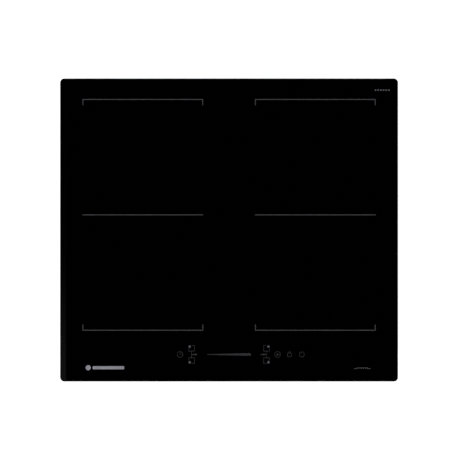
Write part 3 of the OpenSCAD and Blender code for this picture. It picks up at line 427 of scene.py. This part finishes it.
def path_frames(path, closed=False):
    """A point and two side vectors at each place on a path, turning as little as they can."""
    count = len(path)
    frames, side = [], None
    for i, point in enumerate(path):
        before = path[i - 1] if closed or i else point
        after = path[(i + 1) % count] if closed or i < count - 1 else point
        along = (after - before).normalized()
        if side is None:
            side = along.orthogonal().normalized()
        side = (side - along * side.dot(along)).normalized()
        frames.append((point, side, along.cross(side)))
    return frames


def smooth_path(points, steps=8):
    """A Catmull-Rom curve through the points, with straight ends."""
    first, *middle, last = (Vector(p) for p in points)
    points = [first, first.lerp(middle[0], 0.4), *middle, last.lerp(middle[-1], 0.4), last]
    path = []
    for i in range(len(points) - 1):
        a, b = points[max(i - 1, 0)], points[i]
        c, d = points[i + 1], points[min(i + 2, len(points) - 1)]
        for step in range(steps):
            u = step / steps
            path.append(0.5 * (2 * b + (c - a) * u + (2 * a - 5 * b + 4 * c - d) * u * u
                               + (3 * b - a - 3 * c + d) * u ** 3))
    return [*path, points[-1]]


class Kit:
    """Gathers solids and joins those of one finish into one piece that rides on a body."""

    def __init__(self, name, body=ROOT):
        self.name, self.body, self.parts = name, body, {}

    def loft(self, finish, rings, wrap=False, uvs=None):
        """A closed skin through rings of points: its ends are capped, or wrap joins them."""
        verts, faces, corners = self.parts.setdefault(finish, ([], [], []))
        base, count, total = len(verts), len(rings[0]), len(rings)
        for ring in rings:
            verts.extend(Vector(p) * MM for p in ring)
        for i in range(total if wrap else total - 1):
            here, there = base + i * count, base + (i + 1) % total * count
            for k in range(count):
                n = (k + 1) % count
                faces.append((here + k, here + n, there + n, there + k))
                if uvs:
                    corners.append(((uvs[i], k / count), (uvs[i], (k + 1) / count),
                                    (uvs[i + 1], (k + 1) / count), (uvs[i + 1], k / count)))
                else:
                    corners.append(None)
        caps = () if wrap else ((base + count - 1, -1), (base + (total - 1) * count, 1))
        for start, step in caps:
            faces.append(tuple(start + step * k for k in range(count)))
            corners.append(None)

    def stack(self, finish, place, outline, levels, turn=None):
        """Rings of one outline at (height, inset) levels; outline(inset) gives the points."""
        rings = []
        for height, inset in levels:
            ring = [Vector((x, y, height)) for x, y in outline(inset)]
            rings.append([(turn @ p if turn else p) + Vector(place) for p in ring])
        self.loft(finish, rings)

    def block(self, finish, place, size, radius=0.6, edge=0.4, turn=None):
        """A box with round corners and chamfered rims; place is the middle of its base."""
        w, d, h = size

        def outline(inset):
            return rounded_outline(w - 2 * inset, d - 2 * inset, max(radius - inset * 0.5, FINEST))

        self.stack(finish, place, outline, ((0, edge), (edge, 0), (h - edge, 0), (h, edge)), turn=turn)

    def tray(self, finish, place, size, wall, floor, radius=0.5):
        """An open box: walls and a floor."""
        w, d, h = size
        rim = 0.2

        def outline(inset):
            return rounded_outline(w - 2 * inset, d - 2 * inset, max(radius - inset * 0.3, FINEST))

        self.stack(finish, place, outline,
                   ((0, 0), (h - rim, 0), (h, rim), (h, wall - rim), (h - rim, wall), (floor, wall)))

    def lathe(self, finish, place, profile, count=28, turn=None):
        """A turned solid from (radius, height) points."""
        rings = []
        for radius, height in profile:
            ring = [Vector((x, y, height)) for x, y in circle_outline(max(radius, FINEST), count)]
            rings.append([(turn @ p if turn else p) + Vector(place) for p in ring])
        self.loft(finish, rings)

    def tube(self, finish, path, radius, sides=10, closed=False):
        """A round wire along a path, with U in metres along it and V round it."""
        path = [Vector(p) for p in path]
        rings, uvs, run = [], [0.0], 0.0
        for point, side, up in path_frames(path, closed):
            rings.append([point + side * x + up * y for x, y in circle_outline(radius, sides)])
        for a, b in zip(path, path[1:] + path[:1]):
            run += (b - a).length * MM
            uvs.append(run)
        self.loft(finish, rings, wrap=closed, uvs=uvs)

    def make(self, stands_for=(), sharp=32.0):
        for finish, (verts, faces, corners) in self.parts.items():
            mesh = bpy.data.meshes.new(f"{self.name}_{finish}")
            mesh.from_pydata(verts, [], faces)
            layer = mesh.uv_layers.new(name="along")
            loop = 0
            for face, corner in zip(faces, corners):
                for k in range(len(face)):
                    if corner:
                        layer.data[loop + k].uv = corner[k]
                loop += len(face)
            solid = bmesh.new()
            solid.from_mesh(mesh)
            bmesh.ops.recalc_face_normals(solid, faces=solid.faces)
            solid.to_mesh(mesh)
            solid.free()
            mesh.shade_smooth()
            mesh.set_sharp_from_angle(angle=math.radians(sharp))
            mesh.materials.append(M[finish])
            piece = bpy.data.objects.new(f"{self.name}_{finish}", mesh)
            bpy.context.scene.collection.objects.link(piece)
            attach(piece, self.body)
            if stands_for:
                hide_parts(*stands_for)


def mm_box(node):
    """A node's low and high corners in millimetres."""
    low_corner, high_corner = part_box(node)
    return low_corner / MM, high_corner / MM


# ---- Where things stand, from the frame, in millimetres ----
# The lead back under a coil sinks this far below the tops of the ferrite bars
SLEEVE_SINK = 1.9
# Three springs stand round each coil, and this share of each spring's turns is flat at either end
SPRING_TURNS = 3.5
SPRING_CIRCLE_R = 74.0
SPRING_ANGLES = (90, 225, 315)
FLAT_END = 0.18
# From a coil's middle: its two leads, and their posts on the board
LEAD_DX, LEAD_DY, POST_DY = 5.0, -24.0, -12.0
# The plugs near the inner edges of the power boards, the control cable's plug and the sensors'
LINK_X, LINK_YS, CABLE_Y = 33.0, (-60.0, 124.0), -90.0
SENSOR_PLUG = (18.0, -7.0)
BOARD_TOP = mm_box("power_board_left")[1].z
POST_TOP = BOARD_TOP + 6.0
PLUG_TOP = BOARD_TOP + 8.0
ZONES = {}
for corner in CORNERS:
    zone_low, zone_high = mm_box(f"coil_winding_{corner}")
    ZONES[corner] = ((zone_low + zone_high) / 2, zone_low, zone_high)


def fan_centre(side):
    low_corner, high_corner = mm_box(f"fan_wheel_{side}")
    return (low_corner + high_corner) / 2


def plug_spots(side):
    """Where the plugs stand on a power board."""
    spots = [(SIDES[side] * LINK_X, y) for y in LINK_YS] + [(fan_centre(side).x, CABLE_Y)]
    if side == "right":
        spots.append((LINK_X, CABLE_Y))
    for corner in CORNERS:
        if corner.endswith(side):
            centre = ZONES[corner][0]
            spots.append((centre.x + SENSOR_PLUG[0], centre.y + SENSOR_PLUG[1]))
    return spots


# ---- Coils ----
def winding(corner):
    """A flat spiral of stranded wire, with its outer end led back under the carrier."""
    centre, zone_low, zone_high = ZONES[corner]
    wire_r, turns, steps, bore_r = 1.74, 14, 56, 22.0
    inner, outer = bore_r + wire_r, (zone_high.x - zone_low.x) / 2 - wire_r
    start = math.atan2(LEAD_DY, -LEAD_DX)
    end = math.radians(270.0) - start + 2 * math.pi * (turns - 1)
    path = []
    for i in range(turns * steps + 1):
        u = i / (turns * steps)
        r, angle = inner + (outer - inner) * u, start + end * u
        path.append((centre.x + r * math.cos(angle), centre.y + r * math.sin(angle), centre.z))
    kit = Kit(f"litz_coil_{corner}")
    kit.tube("litz", path, wire_r, sides=10)
    under = mm_box("ferrite_bars_left")[1].z - SLEEVE_SINK
    back = [(3, -91.5, centre.z), (4, -96, centre.z - 3.2), (2, -93, under), (0, -60, under), (1, -34, under),
            (LEAD_DX, LEAD_DY, under - 2)]
    back = [(centre.x + dx, centre.y + dy, z) for dx, dy, z in back]
    kit.tube("sleeve", smooth_path([path[-1], *back]), 1.6, sides=10)
    kit.make([f"coil_winding_{corner}"], sharp=60)


def carrier_springs():
    """Compression springs between the coil plates and the carriers, with flat end turns."""
    low_corner, high_corner = mm_box("coil_springs")
    kit = Kit("carrier_springs")
    wire_r, coil_r, steps = 0.58, 5.9, 26
    z0, z1 = low_corner.z + wire_r, high_corner.z - wire_r
    for corner in CORNERS:
        centre = ZONES[corner][0]
        for angle in SPRING_ANGLES:
            turn = math.radians(angle)
            seat = (centre.x + SPRING_CIRCLE_R * math.cos(turn), centre.y + SPRING_CIRCLE_R * math.sin(turn))
            path = []
            for i in range(int(SPRING_TURNS * steps) + 1):
                u = i / (SPRING_TURNS * steps)
                rise = min(1.0, max(0.0, (u - FLAT_END) / (1 - 2 * FLAT_END)))
                spin = turn + 2 * math.pi * SPRING_TURNS * u
                path.append((seat[0] + coil_r * math.cos(spin), seat[1] + coil_r * math.sin(spin),
                             z0 + (z1 - z0) * rise))
            kit.tube("spring", path, wire_r, sides=8)
    kit.make(["coil_springs"], sharp=60)


def sensors():
    """A silicone cap that presses a bead on the glass, on a ribbed stem."""
    kit = Kit("sensor_cap")
    low_corner, high_corner = mm_box("temperature_sensors")
    base = mm_box("coil_carrier_front_left")[1].z
    for corner in CORNERS:
        centre = ZONES[corner][0]
        profile = [(0, low_corner.z), (3.4, low_corner.z), (4.1, low_corner.z + 0.6)]
        for i in range(3):
            z = low_corner.z + 1.2 + i
            profile += [(4.15, z), (3.6, z + 0.35), (4.15, z + 0.7)]
        profile += [(4.15, base - 0.01), (5.9, base), (6.0, base + 0.6), (5.2, base + 1.6)]
        profile += [(4.6, high_corner.z - 0.5), (4.1, high_corner.z), (0, high_corner.z)]
        kit.lathe("sensor", (centre.x, centre.y, 0), profile)
    kit.make(["temperature_sensors"], sharp=50)


def coil_leads():
    """Stranded leads in silicone sleeves, from the windings down to ring lugs on the boards."""
    kit = Kit("coil_lead")
    for corner in CORNERS:
        centre, zone_low, _ = ZONES[corner]
        for sx in (-1, 1):
            x, y = centre.x + sx * LEAD_DX, centre.y
            path = smooth_path([
                (x, y + LEAD_DY, zone_low.z), (x, y + LEAD_DY, -12), (x, y + LEAD_DY, -22),
                (x, y + POST_DY - 2, -31), (x, y + POST_DY, POST_TOP + 2), (x, y + POST_DY, POST_TOP),
            ])
            kit.tube("litz", path, 1.1, sides=10)
            kit.tube("sleeve", path[5:-6], 1.5, sides=12)
            crimp = [(1.3, 0), (1.75, 0.1), (1.75, 3.2), (1.45, 3.6), (1.2, 3.6)]
            kit.lathe("zinc", (x, y + POST_DY, POST_TOP), crimp, 16)
    kit.make(["coil_leads"], sharp=50)


# ---- Boards ----
def turned(axis, degrees):
    """A rotation about an axis, for a solid that doesn't stand upright."""
    return Matrix.Rotation(math.radians(degrees), 3, axis)


def film_capacitor(kit, place, size, finish="blue_case"):
    """A plastic case potted with resin at the top."""
    kit.block(finish, place, size, radius=1.2, edge=0.7)
    x, y, z = place
    kit.block("potting", (x, y, z + size[2] - 0.35), (size[0] - 3, size[1] - 3, 0.36), radius=1.0, edge=0.05)


def can_capacitor(kit, place, r, h):
    """A sleeved aluminium can with a rolled neck and a scored top."""
    kit.lathe("can_sleeve", place, [
        (0, 0), (r - 0.5, 0), (r, 0.4), (r, 1.8), (r - 0.55, 2.3), (r, 2.9), (r, h - 0.8), (r - 0.5, h - 0.1),
        (r - 1.3, h)], 36)
    x, y, z = place
    kit.lathe("sink", (x, y, z + h - 0.3), [(r - 1.1, 0), (r - 1.2, 0.2), (0.1, 0.12)], 36)
    for angle in (0, 90):
        kit.block("potting", (x, y, z + h - 0.14), (r * 1.2, 0.35, 0.1), 0.1, 0.02, turned("Z", angle))


def ring_choke(kit, place, r, h, loops=26):
    """A toroid wound with enamelled wire, lying on a moulded base."""
    x, y, z = place
    inner, outer = r * 0.5, r - 1.5
    mid, half_w, half_h = (inner + outer) / 2, (outer - inner) / 2, (h - 5.5) / 2
    centre_z = z + 2.6 + half_h + 0.6
    kit.block("black", (x, y, z), (2 * r - 2, 2 * r - 2, 2), radius=3, edge=0.3)
    wire_r, core_steps = 0.7, 48
    bare = 0.22  # sine of the angle left without wire on either side

    def section(outline, a):
        return [(x + (mid + u) * math.cos(a), y + (mid + u) * math.sin(a), centre_z + v) for u, v in outline]

    core = rounded_outline(2 * half_w, 2 * half_h, 1.6, 3)
    kit.loft("ferrite", [section(core, 2 * math.pi * i / core_steps) for i in range(core_steps)], wrap=True)
    wrapped = rounded_outline(2 * half_w + 1.5, 2 * half_h + 1.5, 2.2, 3)
    for i in range(loops):
        a = 2 * math.pi * (i + 0.5) / loops
        if abs(math.sin(a)) >= bare:
            kit.tube("copper", section(wrapped, a), wire_r, sides=7, closed=True)


def transformer(kit, place, size):
    """A taped winding on a bobbin between the halves of a ferrite core."""
    x, y, z = place
    w, d, h = size
    kit.block("black", (x, y, z), (w, d, 3), 1.0, 0.3)
    kit.block("tape", (x, y, z + 3), (w * 0.62, d - 3, h - 6), 2.5, 0.5)
    for sx in (-1, 1):
        kit.block("ferrite", (x + sx * (w / 2 - w * 0.11), y, z + 3), (w * 0.2, d * 0.55, h - 3), 0.5, 0.4)
    kit.block("ferrite", (x, y, z + h - 3.4), (w * 0.9, d * 0.55, 3.4), 0.5, 0.4)


def relay(kit, place, size):
    """A sealed case with a vent pip on top."""
    kit.block("blue_case", place, size, radius=0.8, edge=0.5)
    x, y, z = place
    vent = (x + size[0] / 2 - 3, y + size[1] / 2 - 3, z + size[2] - 0.3)
    kit.block("blue_case", vent, (2, 2, 0.3), 0.6, 0.08)


def plug_socket(kit, place, size):
    """A pin header with a plug pushed in."""
    x, y, z = place
    w, d, h = size
    kit.tray("cream", place, (w, d, h * 0.62), 0.7, 0.8)
    kit.block("cream", (x, y, z + 0.9), (w - 1.7, d - 1.7, h - 0.9), 0.4, 0.25)
    kit.block("cream", (x, y + d / 2 - 0.35, z + h * 0.45), (w * 0.4, 0.7, h * 0.4), 0.2, 0.1)


def chip(kit, place, size, legs):
    """A moulded chip with bent legs along both sides."""
    x, y, z = place
    w, d, h = size
    leg = ((-0.22, -0.09), (0.22, -0.09), (0.22, 0.09), (-0.22, 0.09))
    kit.block("chip", (x, y, z + 0.3), (w, d, h - 0.3), 0.3, 0.25)
    for i in range(legs):
        at = y - d / 2 + d * (i + 0.5) / legs
        for sx in (-1, 1):
            bends = ((0, h * 0.5), (0.5, h * 0.5), (0.7, 0.12), (1.1, 0.12))
            kit.loft("zinc", [[(x + sx * (w / 2 + out), at + dy, z + up + dz) for dy, dz in leg]
                              for out, up in bends])


def chip_resistors(kit, x0, y0, columns, rows, pitch=(4.2, 3.1)):
    """Small resistors and capacitors in rows, every few places left empty."""
    for i in range(columns):
        for j in range(rows):
            if (3 * i + 5 * j + i * j) % 4 == 0:
                continue
            upright = (i + 2 * j) % 3 == 0
            size = (1.25, 2.0) if upright else (2.0, 1.25)
            place = (x0 + i * pitch[0], y0 + j * pitch[1], BOARD_TOP)
            kit.block("chip" if (i + j) % 2 else "sensor", place, (*size, 0.55), 0.1, 0.06)
            for s in (-1, 1):
                shift = (0, s * 0.85) if upright else (s * 0.85, 0)
                end = (1.3, 0.35) if upright else (0.35, 1.3)
                tip = (place[0] + shift[0], place[1] + shift[1], BOARD_TOP)
                kit.block("zinc", tip, (*end, 0.6), 0.05, 0.04)


def coil_post(kit, x, y):
    """A hexagonal terminal with a ring lug and its nut."""
    post_r, nut_r, lug_z, nut_z = 3.4, 2.7, 3.7, 4.6
    kit.stack("brass", (x, y, BOARD_TOP), lambda i: circle_outline(post_r - i, 6),
              ((0, 0.3), (0.3, 0), (3.4, 0), (3.7, 0.3)))
    kit.lathe("zinc", (x, y, BOARD_TOP + lug_z),
              [(1.0, 0), (3.2, 0), (3.3, 0.2), (3.3, 0.7), (3.1, 0.9), (1.0, 0.9)], 24)
    kit.stack("zinc", (x, y, BOARD_TOP + nut_z), lambda i: circle_outline(nut_r - i, 6, 0.3),
              ((0, 0.2), (0.2, 0), (1.2, 0), (1.4, 0.25)))


def power_board_parts(side):
    low_corner, high_corner = mm_box(f"power_board_{side}")
    x0, y0 = (low_corner.x + high_corner.x) / 2, (low_corner.y + high_corner.y) / 2
    kit = Kit(f"board_{side}")

    def spot(dx, dy):
        return (x0 + dx, y0 + dy, BOARD_TOP)

    for dy in (60, 10, -40):
        film_capacitor(kit, spot(-68, dy), (26, 40, 19), "blue_case" if dy == 10 else "grey_case")
    ring_choke(kit, spot(-25, 30), 16, 16)
    transformer(kit, spot(-25, -18), (28, 26, 18))
    for dx in (-34, -12):
        can_capacitor(kit, spot(dx, -55), 8, 18)
    relay(kit, spot(-12, 75), (16, 28, 14))
    for dy in (-40, 0, 40):
        chip(kit, spot(-48, dy), (6, 11, 2.2), 8)
    chip(kit, spot(80, 20), (8, 10, 2.2), 7)
    chip_resistors(kit, x0 + 74, y0 + 32, 3, 16)
    chip_resistors(kit, x0 + 74, y0 - 60, 3, 20)
    chip_resistors(kit, x0 - 34, y0 - 100, 9, 8)
    for plug in plug_spots(side):
        plug_socket(kit, (*plug, BOARD_TOP), (7, 7, 8))
    for corner in CORNERS:
        if corner.endswith(side):
            centre = ZONES[corner][0]
            for s in (-1, 1):
                coil_post(kit, centre.x + s * LEAD_DX, centre.y + POST_DY)
    kit.make([f"board_parts_{side}"])


def filter_board_parts():
    kit = Kit("filter")
    ring_choke(kit, (60, 172, BOARD_TOP), 16, 17, loops=30)
    film_capacitor(kit, (92, 172, BOARD_TOP), (13, 34, 18), "amber_case")
    relay(kit, (114, 166, BOARD_TOP), (16, 24, 14))
    for s in (-1, 1):
        kit.block("zinc", (38, 172 + s * 9, BOARD_TOP), (7, 3, 7), 0.4, 0.2)
    kit.lathe("fuse_glass", (38, 161.5, BOARD_TOP + 4.6), [(2.6, 0), (2.6, 21)], 20, turned("X", -90))
    transformer(kit, (178, 168, BOARD_TOP), (24, 20, 12))
    kit.block("green_terminal", (150, 190, BOARD_TOP), (34, 8, 8), 0.5, 0.4)
    for x in (136, 148, 160):
        kit.lathe("zinc", (x, 190, BOARD_TOP + 7.4), [(2.0, 0), (2.0, 0.5), (1.8, 0.6), (0.05, 0.6)], 20)
    for x in (46, 58):
        plug_socket(kit, (x, 153.5, BOARD_TOP), (7, 7, 8))
    chip_resistors(kit, 128, 152, 5, 3)
    kit.make(["filter_parts"])


# ---- Wiring ----
def wiring():
    signal = Kit("signal_cable")
    control_low = mm_box("control_board")[0].z
    cable = [(0, -191, control_low), (0, -191, -18), (0, -191, -30), (0, -171, -38), (0, -120, -38),
             (14, -100, -30), (LINK_X, CABLE_Y, -29), (LINK_X, CABLE_Y, PLUG_TOP + 2),
             (LINK_X, CABLE_Y, PLUG_TOP)]
    signal.tube("grey_cable", smooth_path(cable), 1.5, sides=12)
    link = [(LINK_X, LINK_YS[0], PLUG_TOP), (LINK_X, LINK_YS[0], PLUG_TOP + 3), (20, LINK_YS[0], -29),
            (-20, LINK_YS[0], -29), (-LINK_X, LINK_YS[0], PLUG_TOP + 3), (-LINK_X, LINK_YS[0], PLUG_TOP)]
    signal.tube("grey_cable", smooth_path(link), 1.2, sides=12)
    for side in SIDES:
        fan = fan_centre(side)
        run = [(0, fan.y + 21, -21.1), (0, -122, -21.1), (0, -108, -21.6), (0, CABLE_Y - 6, -27),
               (0, CABLE_Y, PLUG_TOP + 2), (0, CABLE_Y, PLUG_TOP)]
        for finish, shift in (("red_wire", -0.75), ("rubber", 0.75)):
            signal.tube(finish, smooth_path([(fan.x + shift, y, z) for _, y, z in run]), 0.62, sides=8)
    stem = mm_box("temperature_sensors")[0].z
    for corner in CORNERS:
        centre = ZONES[corner][0]
        x, y = centre.x, centre.y
        run = [(0, 0, stem), (0, 0, -14), (0, 0, -22), (SENSOR_PLUG[0] - 4, SENSOR_PLUG[1], -30),
               (*SENSOR_PLUG, PLUG_TOP + 2), (*SENSOR_PLUG, PLUG_TOP)]
        for shift in (-0.55, 0.55):
            route = smooth_path([(x + dx, y + dy + shift, z) for dx, dy, z in run])
            signal.tube("sensor", route, 0.5, sides=8)
    signal.make(["signal_cables"], sharp=60)

    mains = Kit("mains_lead")
    block_front = mm_box("terminal_block")[0].y
    wire_r, block_z = 1.3, -41
    for x, finish in ((136, "brown_wire"), (148, "blue_wire"), (160, "earth_wire")):
        run = [(x, block_front), (x, block_front - 4), (x + 0.8, block_front - 7.5), (x, 198), (x, 194)]
        mains.tube(finish, smooth_path([(*at, block_z) for at in run]), wire_r, sides=14)
    for s, x0, finish in ((1, 58, "brown_wire"), (-1, 46, "blue_wire")):
        x1 = s * LINK_X
        run = [(x0, 153.5, PLUG_TOP), (x0, 153.5, PLUG_TOP + 3), (x0 - 4, 147, -27 - 2 * s),
               (x1 + 5, 130, -27), (x1, LINK_YS[1], PLUG_TOP + 3), (x1, LINK_YS[1], PLUG_TOP)]
        mains.tube(finish, smooth_path(run), wire_r, sides=14)
    mains.make(["mains_leads"], sharp=60)


# ---- Controls ----
def touch_contacts():
    """A light sprung coil under each key, with a closed ring against the glass."""
    kit = Kit("touch_contact")
    low_corner, high_corner = mm_box("touch_springs")
    turns, steps, end_r, waist, margin, flat_end = 5, 24, 3.7, 0.9, 0.3, 0.12
    lens = [(0, 0), (1.1, 0), (1.2, 0.2), (1.2, 0.9), (0.9, 1.3), (0, 1.5)]
    for x, y in key_spots():
        path = []
        for i in range(turns * steps + 1):
            u = i / (turns * steps)
            r, spin = end_r - waist * math.sin(math.pi * u), 2 * turns * math.pi * u
            rise = min(1, max(0, (u - flat_end) / (1 - 2 * flat_end)))
            z = low_corner.z + margin + (high_corner.z - low_corner.z - 2 * margin) * rise
            path.append((x + r * math.cos(spin), y + r * math.sin(spin), z))
        kit.tube("spring", path, 0.26, sides=7)
        kit.lathe("lamp", (x, y, low_corner.z), lens, 20)
    kit.make(["touch_springs"], sharp=60)


def key_spots():
    """The middle of each key, in the frame of the printed row."""
    row_y = (mm_box("touch_springs")[0].y + mm_box("touch_springs")[1].y) / 2
    spots = [(x, row_y) for x in (-84.0, 83.2, 103.5, 124.9)]
    spots += [(sx * 64.3, row_y + sy * 7.6) for sx in (-1, 1) for sy in (-1, 1)]
    return spots + [(15.0 * i, row_y) for i in range(-2, 3)]


def control_board_parts():
    """Chips and lamps on the touch board, beside the sprung contacts."""
    kit = Kit("touch_board")
    top = mm_box("control_board")[1].z
    for x in (-100, -42, 42):
        kit.block("chip", (x, -199, top), (7, 7, 1.2), 0.2, 0.15)
    for i in range(22):
        x = -102 + 10.4 * i
        kit.block("chip" if i % 3 else "sensor", (x, -189.6, top), (2, 1.2, 0.6), 0.1, 0.06)
        kit.block("lamp", (x, -224.5, top), (1.6, 0.8, 0.7), 0.1, 0.08)
    kit.make()


for corner in CORNERS:
    winding(corner)
carrier_springs()
sensors()
coil_leads()
for side in SIDES:
    power_board_parts(side)
filter_board_parts()
wiring()
touch_contacts()
control_board_parts()


# ---- Studio ----
FLOOR_Z = cad_low.z


def studio_floor():
    reach = 14.0
    mesh = bpy.data.meshes.new("studio_floor")
    mesh.from_pydata([(-reach, -reach, FLOOR_Z), (reach, -reach, FLOOR_Z), (reach, reach, FLOOR_Z),
                      (-reach, reach, FLOOR_Z)], [], [(0, 1, 2, 3)])
    floor = bpy.data.objects.new("studio_floor", mesh)
    bpy.context.scene.collection.objects.link(floor)
    s = Shader("paper_floor")
    s.to("Base Color", s.ramp(s.noise(3.0), (0.2, (0.48, 0.48, 0.48)), (0.8, (0.54, 0.54, 0.54))))
    s.to("Roughness", s.spread(s.noise(200.0), 0.75, 0.9))
    s.bsdf.inputs["Emission Color"].default_value = (1.0, 1.0, 1.0, 1.0)
    s.bsdf.inputs["Emission Strength"].default_value = 0.9
    clear = s.node("BsdfTransparent")
    both = s.node("MixShader")
    s.feed(both.inputs[0], s.node("NewGeometry").outputs["Backfacing"])
    s.feed(both.inputs[1], s.bsdf.outputs[0])
    s.feed(both.inputs[2], clear.outputs[0])
    s.feed(s.tree.nodes["Material Output"].inputs["Surface"], both.outputs[0])
    mesh.materials.append(s.material)


def grey_ramp(tree, fac, stops, tint=(1.0, 1.0, 1.0)):
    """A ramp of tinted greys from (place, level) stops."""
    made = tree.nodes.new("ShaderNodeValToRGB")
    elements = made.color_ramp.elements
    while len(elements) < len(stops):
        elements.new(0.5)
    for element, (place, level) in zip(elements, stops):
        element.position = place
        element.color = (*(level * share for share in tint), 1.0)
    tree.links.new(fac, made.inputs["Fac"])
    return made


def studio_sky():
    """A pale surround under a dark ceiling, tilted so that the left bevel catches its edge at the front.

    Dark flags stand round it for reflections only, so that the glass stays black from low down.
    The camera itself sees a plain pale backdrop.
    """
    world = bpy.data.worlds.new("studio")
    bpy.context.scene.world = world
    world.use_nodes = True
    tree = world.node_tree

    def blend(fac, under, over):
        made = tree.nodes.new("ShaderNodeMix")
        made.data_type = "RGBA"
        tree.links.new(fac, made.inputs["Factor"])
        tree.links.new(under, made.inputs[MIX_A])
        made.inputs[MIX_B].default_value = (*over, 1.0)
        return made.outputs[MIX_OUT]

    direction = tree.nodes.new("ShaderNodeTexCoord").outputs["Generated"]
    ceiling = tree.nodes.new("ShaderNodeVectorMath")
    ceiling.operation = "DOT_PRODUCT"
    tree.links.new(direction, ceiling.inputs[0])
    ceiling.inputs[1].default_value = Vector((0.3, 0.45, 1.0)).normalized()
    surround = grey_ramp(tree, ceiling.outputs["Value"],
                         ((0.0, 0.8), (0.35, 0.9), (0.5, 0.35), (0.578, 0.15), (0.63, 0.01), (0.66, 0.0)),
                         (0.98, 0.985, 1.05))
    surround.color_ramp.interpolation = "EASE"
    height = tree.nodes.new("ShaderNodeSeparateXYZ")
    tree.links.new(direction, height.inputs[0])
    flags = grey_ramp(tree, height.outputs["Z"],
                      ((0.0, 0.0), (0.1, 0.0), (0.22, 0.8), (0.75, 0.8), (0.88, 0.0)))
    path = tree.nodes.new("ShaderNodeLightPath")
    reflected = tree.nodes.new("ShaderNodeMath")
    reflected.operation = "MULTIPLY"
    tree.links.new(flags.outputs["Color"], reflected.inputs[0])
    tree.links.new(path.outputs["Is Glossy Ray"], reflected.inputs[1])
    around = blend(reflected.outputs[0], surround.outputs["Color"], (0.01, 0.01, 0.011))
    seen = blend(path.outputs["Is Camera Ray"], around, (0.8, 0.8, 0.82))
    tree.links.new(seen, tree.nodes["Background"].inputs["Color"])


def softbox(name, place, aim, size, power):
    light = bpy.data.lights.new(name, "AREA")
    light.shape = "RECTANGLE"
    light.size, light.size_y = size
    light.energy = power
    lamp = bpy.data.objects.new(name, light)
    lamp.location = place
    lamp.rotation_euler = (Vector(aim) - Vector(place)).to_track_quat("-Z", "Y").to_euler()
    bpy.context.scene.collection.objects.link(lamp)


def studio_camera():
    """Straight above the glass, framed as wide as the photograph."""
    seen_width = 0.7892
    off_centre = 0.0016
    camera = bpy.data.cameras.new("camera")
    camera.lens = 100.0
    camera.sensor_width = 36.0
    holder = bpy.data.objects.new("camera", camera)
    holder.location = (off_centre, 0.0, cad_high.z + seen_width * camera.lens / camera.sensor_width)
    bpy.context.scene.collection.objects.link(holder)
    bpy.context.scene.camera = holder


studio_floor()
studio_sky()
softbox("key", (-1.9, -1.9, 1.5), (0, 0, 0), (1.2, 0.9), 22.0)
softbox("fill", (2.1, -1.2, 1.3), (0, 0, 0), (1.2, 1.0), 8.0)
softbox("back", (0.4, 2.4, 1.2), (0, 0, 0), (1.6, 0.8), 10.0)
softbox("under", (-0.6, -0.7, -1.6), (0, 0, 0), (1.6, 1.6), 16.0)
studio_camera()
bpy.context.scene.view_settings.view_transform = "Standard"
